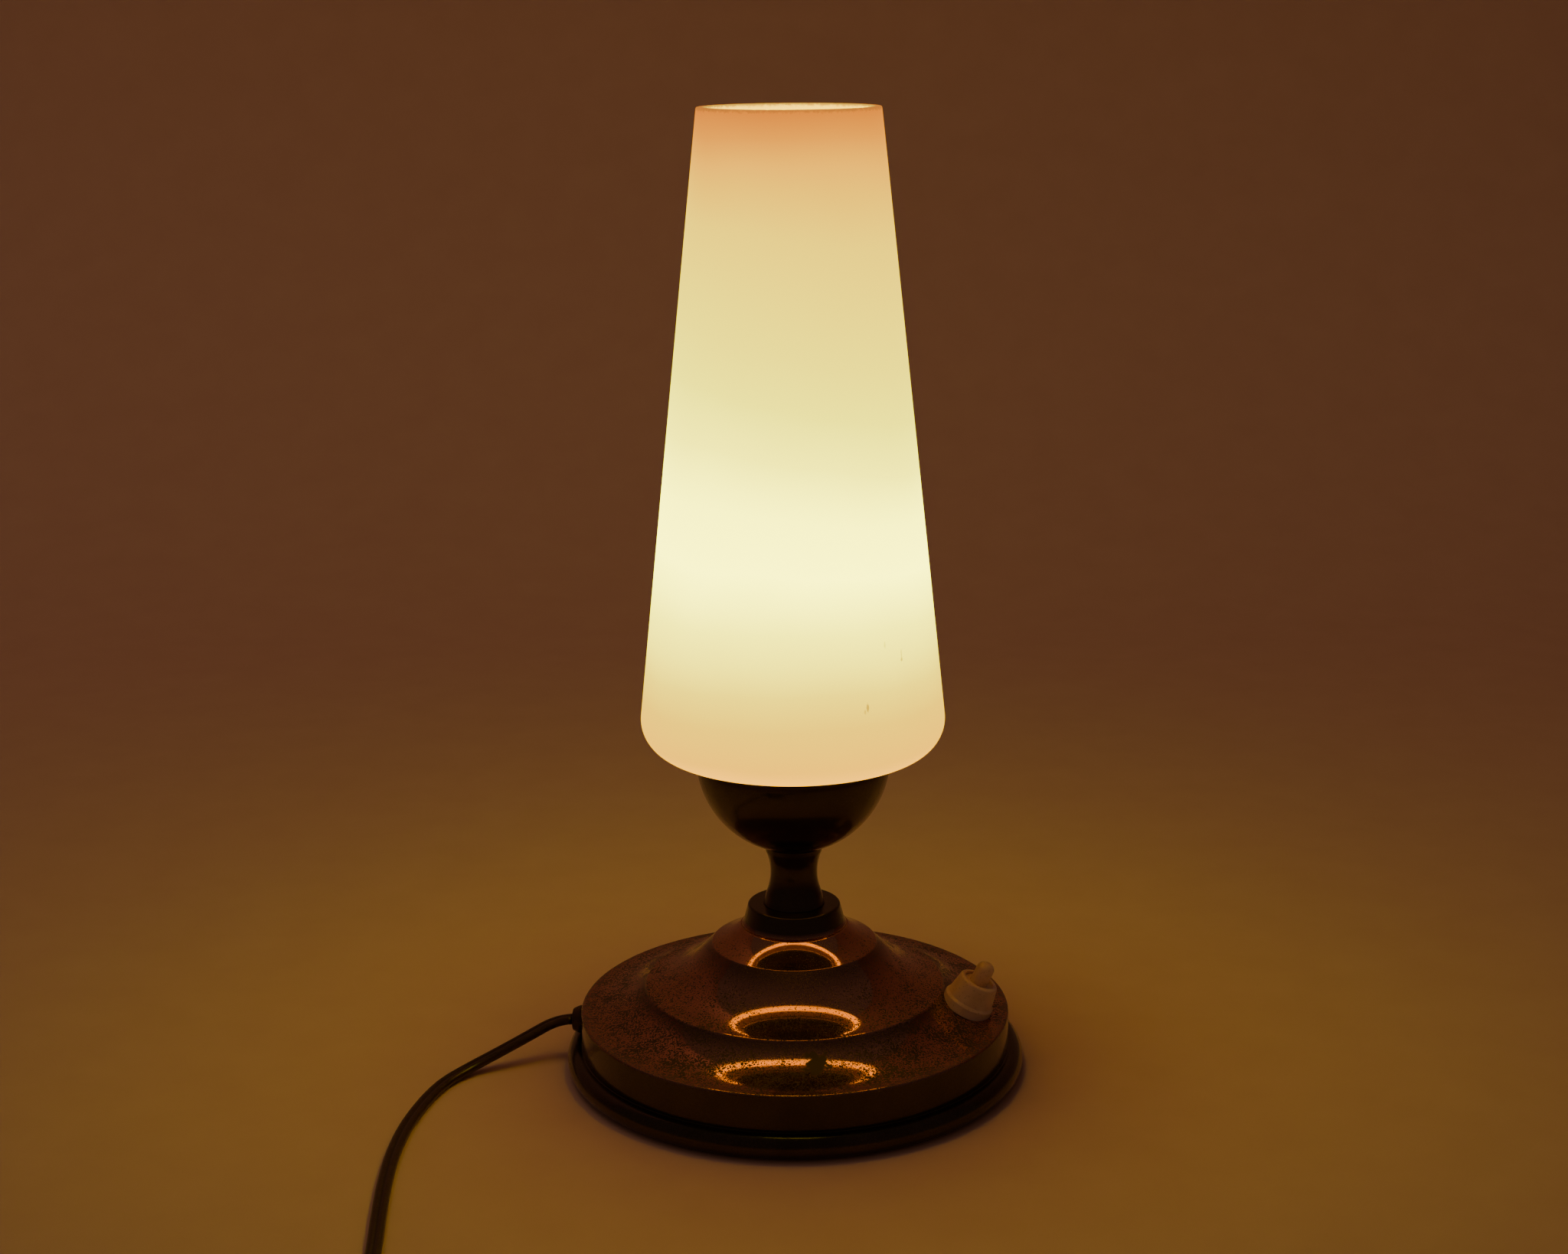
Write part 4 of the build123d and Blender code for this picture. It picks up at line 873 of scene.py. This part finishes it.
cap_thread = threaded("cap_thread", 117.6, 131.2, 6.55, 4.5, 0.55, cap_metal)
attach(cap_thread, "bulb")
sleeve_thread = threaded("sleeve_thread", 110.0, 132.0, 13.86, 9.0, 0.3, black_moulding)
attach(sleeve_thread, "lamp")
print("threads", len(cap_thread.data.polygons), len(sleeve_thread.data.polygons))

# %% [markdown]
# ## The switch's spring
# A wire spring under the button pushes it back up. It is one more spiral from the thread tree, leaned onto the
# switch's axis. When the button goes down, the spring has to get shorter.

# %% Spring
spring_foot, spring_head, spring_r, spring_turns, spring_wire_r = -12.95, -4.33, 4.2, 5.0, 0.2
wire_low, wire_high = spring_foot + spring_wire_r, spring_head - spring_wire_r
spring = threaded("spring_wire", wire_low, wire_high, spring_r, spring_turns, spring_wire_r, zinc)
spring.data.transform(on_tier)
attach(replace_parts(spring, "switch_spring"), "lamp")
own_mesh(spring)

# %% [markdown]
# ## The bulb's glass
# A frosted bulb glows evenly, so its glass is a bright satin skin and no clear shell. The glow is weakest at the
# neck, where the cap shades it, and strongest round the filament. Noise stands for the frost.

# %% Bulb glass
glow_low, glow_high = 0.14, 0.216
lit_glass, tree, shader = finish("lit_glass", Roughness=0.45, Emission_Strength=5.0)
place = put(tree, "ShaderNodeTexCoord").outputs["Object"]
height = put(tree, "ShaderNodeSeparateXYZ", {0: place}).outputs[2]
rise = spread(tree, height, glow_low, glow_high)
frost = calc(tree, "MULTIPLY_ADD", grain(tree, place, 300.0, 3.0), 0.08, rise)
bulb_stops = [(0.0, (0.5, 0.24, 0.07)), (0.25, (0.85, 0.55, 0.22)), (0.5, (1.0, 0.8, 0.42)), (1.0, (0.9, 0.62, 0.27))]
frost_tones = (0.82, 0.78, 0.7, 1), (0.9, 0.87, 0.8, 1)
tree.links.new(ramp(tree, frost, bulb_stops), shader.inputs["Emission Color"])
tree.links.new(mix(tree, frost, *frost_tones), shader.inputs["Base Color"])
print("bulb nodes", len(tree.nodes))

# %% [markdown]
# ## The plug
# A flat two-pin plug is moulded on the end. Its body is lofted through rounded sections, from the ribbed sleeve round
# the cord to the flat front. Each section is a superellipse, so one number takes it from round to nearly square.


# %% Plug body
def lofted(name, sections, material):
    """A closed body through rounded sections, each a place along x, a width, a height and a squareness."""
    n, verts = 48, []
    for x, wide, high, power in sections:
        for k in range(n):
            c, d = cos(2 * pi * k / n), sin(2 * pi * k / n)
            y = abs(c) ** (2 / power) * wide / 2 * (1 if c >= 0 else -1)
            z = abs(d) ** (2 / power) * high / 2 * (1 if d >= 0 else -1)
            verts.append((plug_at + Vector((x, y, z))) * mm)
    made = mesh_object(name, verts, skin(len(sections), n))
    made.data.materials.append(material)
    return outward(made)


collars, collar_start, collar_pitch, collar_wide, collar_grow = 4, 0.3, 2.4, 7.4, 0.9
groove_deep, sleeve_flat, sleeve_square = 1.0, 1.2, 2.2
sections = []
for count in range(collars):
    x, wide = collar_start + count * collar_pitch, collar_wide + count * collar_grow
    for along, cut in ((0.0, groove_deep), (0.3, 0.0), (1.5, 0.0), (1.8, groove_deep)):
        sections.append((x + along, wide - cut, wide - cut - sleeve_flat, sleeve_square))
sections += [(10.6, 10.5, 9.5, 2.4), (13.0, 15.0, 12.6, 2.8), (16.0, 22.5, 14.8, 3.4), (19.0, 27.6, 15.8, 4.0)]
sections += [(22.0, 29.6, 16.1, 4.4), (33.0, 29.9, 16.1, 4.6), (34.8, 29.4, 15.7, 4.6)]
sections += [(35.7, 28.2, 14.7, 4.6), (36.0, 26.8, 13.4, 4.6)]
moulded = mottled("moulded_plug", ((0.03, 0.016, 0.01), (0.05, 0.027, 0.016)), 160, (0.4, 0.6), 0.08)
plug = lofted("plug", sections, moulded)
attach(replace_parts(plug, "plug_body"), "lamp")
print("plug faces", len(plug.data.polygons))

# %% [markdown]
# ## Grip ribs
# Raised ribs on both flanks give the fingers a hold. They repeat along a line, so a third tree sets one long drop on
# each point of the line.

# %% Grip ribs
ribs, ribs_in, enter = new_tree(
    "grip_ribs", start="Geometry", count="Int", first="Vector", step="Vector", size="Vector", finish="Material"
)
row_places = {"Count": enter["Count"], "Start Location": enter["First"], "Offset": enter["Step"]}
row = put(ribs, "GeometryNodeMeshLine", row_places)
drop = put(ribs, "GeometryNodeMeshUVSphere", {"Segments": 16, "Rings": 10, "Radius": 1.0})
drops = {"Points": row.outputs[0], "Instance": drop.outputs[0], "Scale": enter["Size"]}
end_tree(ribs, put(ribs, "GeometryNodeInstanceOnPoints", drops).outputs[0], enter["Finish"])
rib_step, rib_size = (2.2 * mm, 0, 0), (0.7 * mm, 0.9 * mm, 4.6 * mm)
for name, side in (("grip_front", -14.6), ("grip_back", 14.6)):
    first = (plug_at + Vector((22.5, side, 0))) * mm
    values = {"count": 5, "first": first, "step": rib_step, "size": rib_size, "finish": moulded}
    grip = baked(mesh_object(name, [], []), ribs, ribs_in, **values)
    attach(grip, "lamp")

# %% [markdown]
# ## The pins
# Each pin has a bright rounded end and a sleeve of the plug's plastic next to the body, so that no bare metal can be
# touched while it is half plugged in.

# %% Pins
pin_corners = [(0.0, 0.0), (1.7, 0.0), (1.7, 9.0), (2.0, 9.0), (2.0, 19.0), (0.0, 19.0)]
sleeve_corners = [(1.72, 0.0), (1.98, 0.0), (1.98, 9.0), (1.72, 9.0)]
plug_front = plug_at + Vector((36.0, 0, 0))
pins = []
for name, side in (("pin_front", -9.5), ("pin_back", 9.5)):
    at = leaning(plug_front + Vector((0, side, 0)), Vector((1, 0, 0)))
    pin = turned(name, rounded(pin_corners, [0, 0, 0, 0.1, 1.6, 0], 0.2), bright_brass, at, 48)
    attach(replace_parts(pin, "plug_pins"), "lamp")
    sleeve = turned(f"{name}_sleeve", rounded(sleeve_corners, [0, 0.05, 0.1, 0], 0.1), moulded, at, 48)
    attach(sleeve, "lamp")
    pins += [pin, sleeve]
print("pins", len(pins))

# %% [markdown]
# ## The tie
# The coil is held by a woven strap that goes once round the bundle of turns and ends in a short tail that lies on
# itself. A strap is flat, so it is a line with a normal at each point, widened across the bundle.


# %% Tie strap
def normals(line, closed):
    """Outward directions of a line in its plane."""
    made = []
    for i in range(len(line)):
        a = line[i - 1] if closed or i else line[i]
        b = line[(i + 1) % len(line)] if closed or i < len(line) - 1 else line[i]
        way = Vector((b[0] - a[0], b[1] - a[1])).normalized()
        made.append((-way.y, way.x))
    return made


def strap(name, line, width, thick, closed):
    """A flat strap whose middle line lies in the plane across the coil's bundle."""
    verts = []
    for (x, z), (nx, nz) in zip(line, normals(line, closed)):
        for side, lift in ((-1, 0), (1, 0), (1, 1), (-1, 1)):
            y = coil_heart.y + side * width / 2
            verts.append(Vector((x + nx * thick * lift, y, z + nz * thick * lift)) * mm)
    made = mesh_object(name, verts, skin(len(line), 4, closed))
    made.data.materials.append(tape)
    return outward(made)


tie_low, tie_high, tie_left, tie_right, tie_bend, tie_wide, tie_thick = 0.7, 7.2, -64.0, -38.0, 2.2, 5.0, 0.6
tie_corners = [(tie_left, tie_low), (tie_left, tie_high), (tie_right, tie_high), (tie_right, tie_low)]
tie = strap("tie", rounded(tie_corners, [tie_bend] * 4, 0.5), tie_wide, tie_thick, True)
end_in, end_lift, end_curl = 8, 0.62, 0.9
end_line = [(tie_left + end_in + i, tie_high + end_lift + end_curl * max(0, (i - 9) / 6) ** 2) for i in range(16)]
tie_end = strap("tie_end", end_line, tie_wide, tie_thick, False)
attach(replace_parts(tie, "coil_tie"), "lamp")
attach(tie_end, "lamp")
print("tie's far corner", [round(max(v.co[k] for v in tie.data.vertices) / mm, 1) for k in range(3)])

# %% [markdown]
# ## Dressing the carried-over solids
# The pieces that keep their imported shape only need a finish. Each takes the one of its material slot, so the inside
# of the lamp looks right when the shade, the ring and the bulb are lifted off.

# %% Finishes by slot
by_slot = dict(pressboard=board, felt=felt, cast_weight=cast, zinc_steel=zinc, contact_brass=bright_brass)
by_slot |= dict(holder_plastic=black_moulding, ceramic=glaze, switch_ivory=collar_ivory, filament_wire=wire)
by_slot |= dict(bulb_glass=lit_glass, bulb_cap_metal=cap_metal, bulb_black_glass=black_glass)
by_slot |= dict(cord_brown=flex, lead_brown=lead_brown, lead_blue=lead_blue)
dressed_nodes = 0
for part in frame["record"]["subparts"]:
    node = frame["nodes"][part["node"]]
    if not node.hide_render:
        node.data.materials.clear()
        node.data.materials.append(by_slot[part["material_slot"]])
        dressed_nodes += 1
print("dressed solids", dressed_nodes)

# %% [markdown]
# ## The sheath
# The flex is dark brown plastic with a soft shine. Its tone and gloss drift a little, as handling leaves them, and
# the sheath is darker along the seam between the cores. Both read the UV map, which runs along the cord and once round
# it.

# %% Cord sheath
sheath_tones, seam_tone = ((0.03, 0.013, 0.008, 1), (0.062, 0.026, 0.014, 1)), (0.008, 0.004, 0.003, 1)
sheath, tree, shader = finish("cord_sheath", Coat_Weight=0.25, Coat_Roughness=0.18)
along_across = put(tree, "ShaderNodeUVMap", uv_map="along_and_across").outputs[0]
along, across = put(tree, "ShaderNodeSeparateXYZ", {0: along_across}).outputs[:2]
from_seam = calc(tree, "ABSOLUTE", calc(tree, "SINE", calc(tree, "MULTIPLY", across, 2 * pi)))
unrolled = put(tree, "ShaderNodeCombineXYZ", {0: calc(tree, "MULTIPLY", along, 60.0), 1: across}).outputs[0]
tone = mix(tree, spread(tree, grain(tree, unrolled, 7.0, 4.0), 0.32, 0.68), *sheath_tones)
tone = mix(tree, spread(tree, from_seam, 0.05, 0.4, 0.75, 0.0), tone, seam_tone)
tree.links.new(tone, shader.inputs["Base Color"])
tree.links.new(spread(tree, grain(tree, unrolled, 30.0, 2.0), 0.3, 0.7, 0.26, 0.42), shader.inputs["Roughness"])
cord.data.materials.append(sheath)
print("sheath nodes", len(tree.nodes))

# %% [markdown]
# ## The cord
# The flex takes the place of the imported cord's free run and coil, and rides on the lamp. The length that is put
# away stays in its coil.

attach(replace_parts(cord, "cord_free", "cord_coil"), "lamp")
print("cord declared", cord.name)
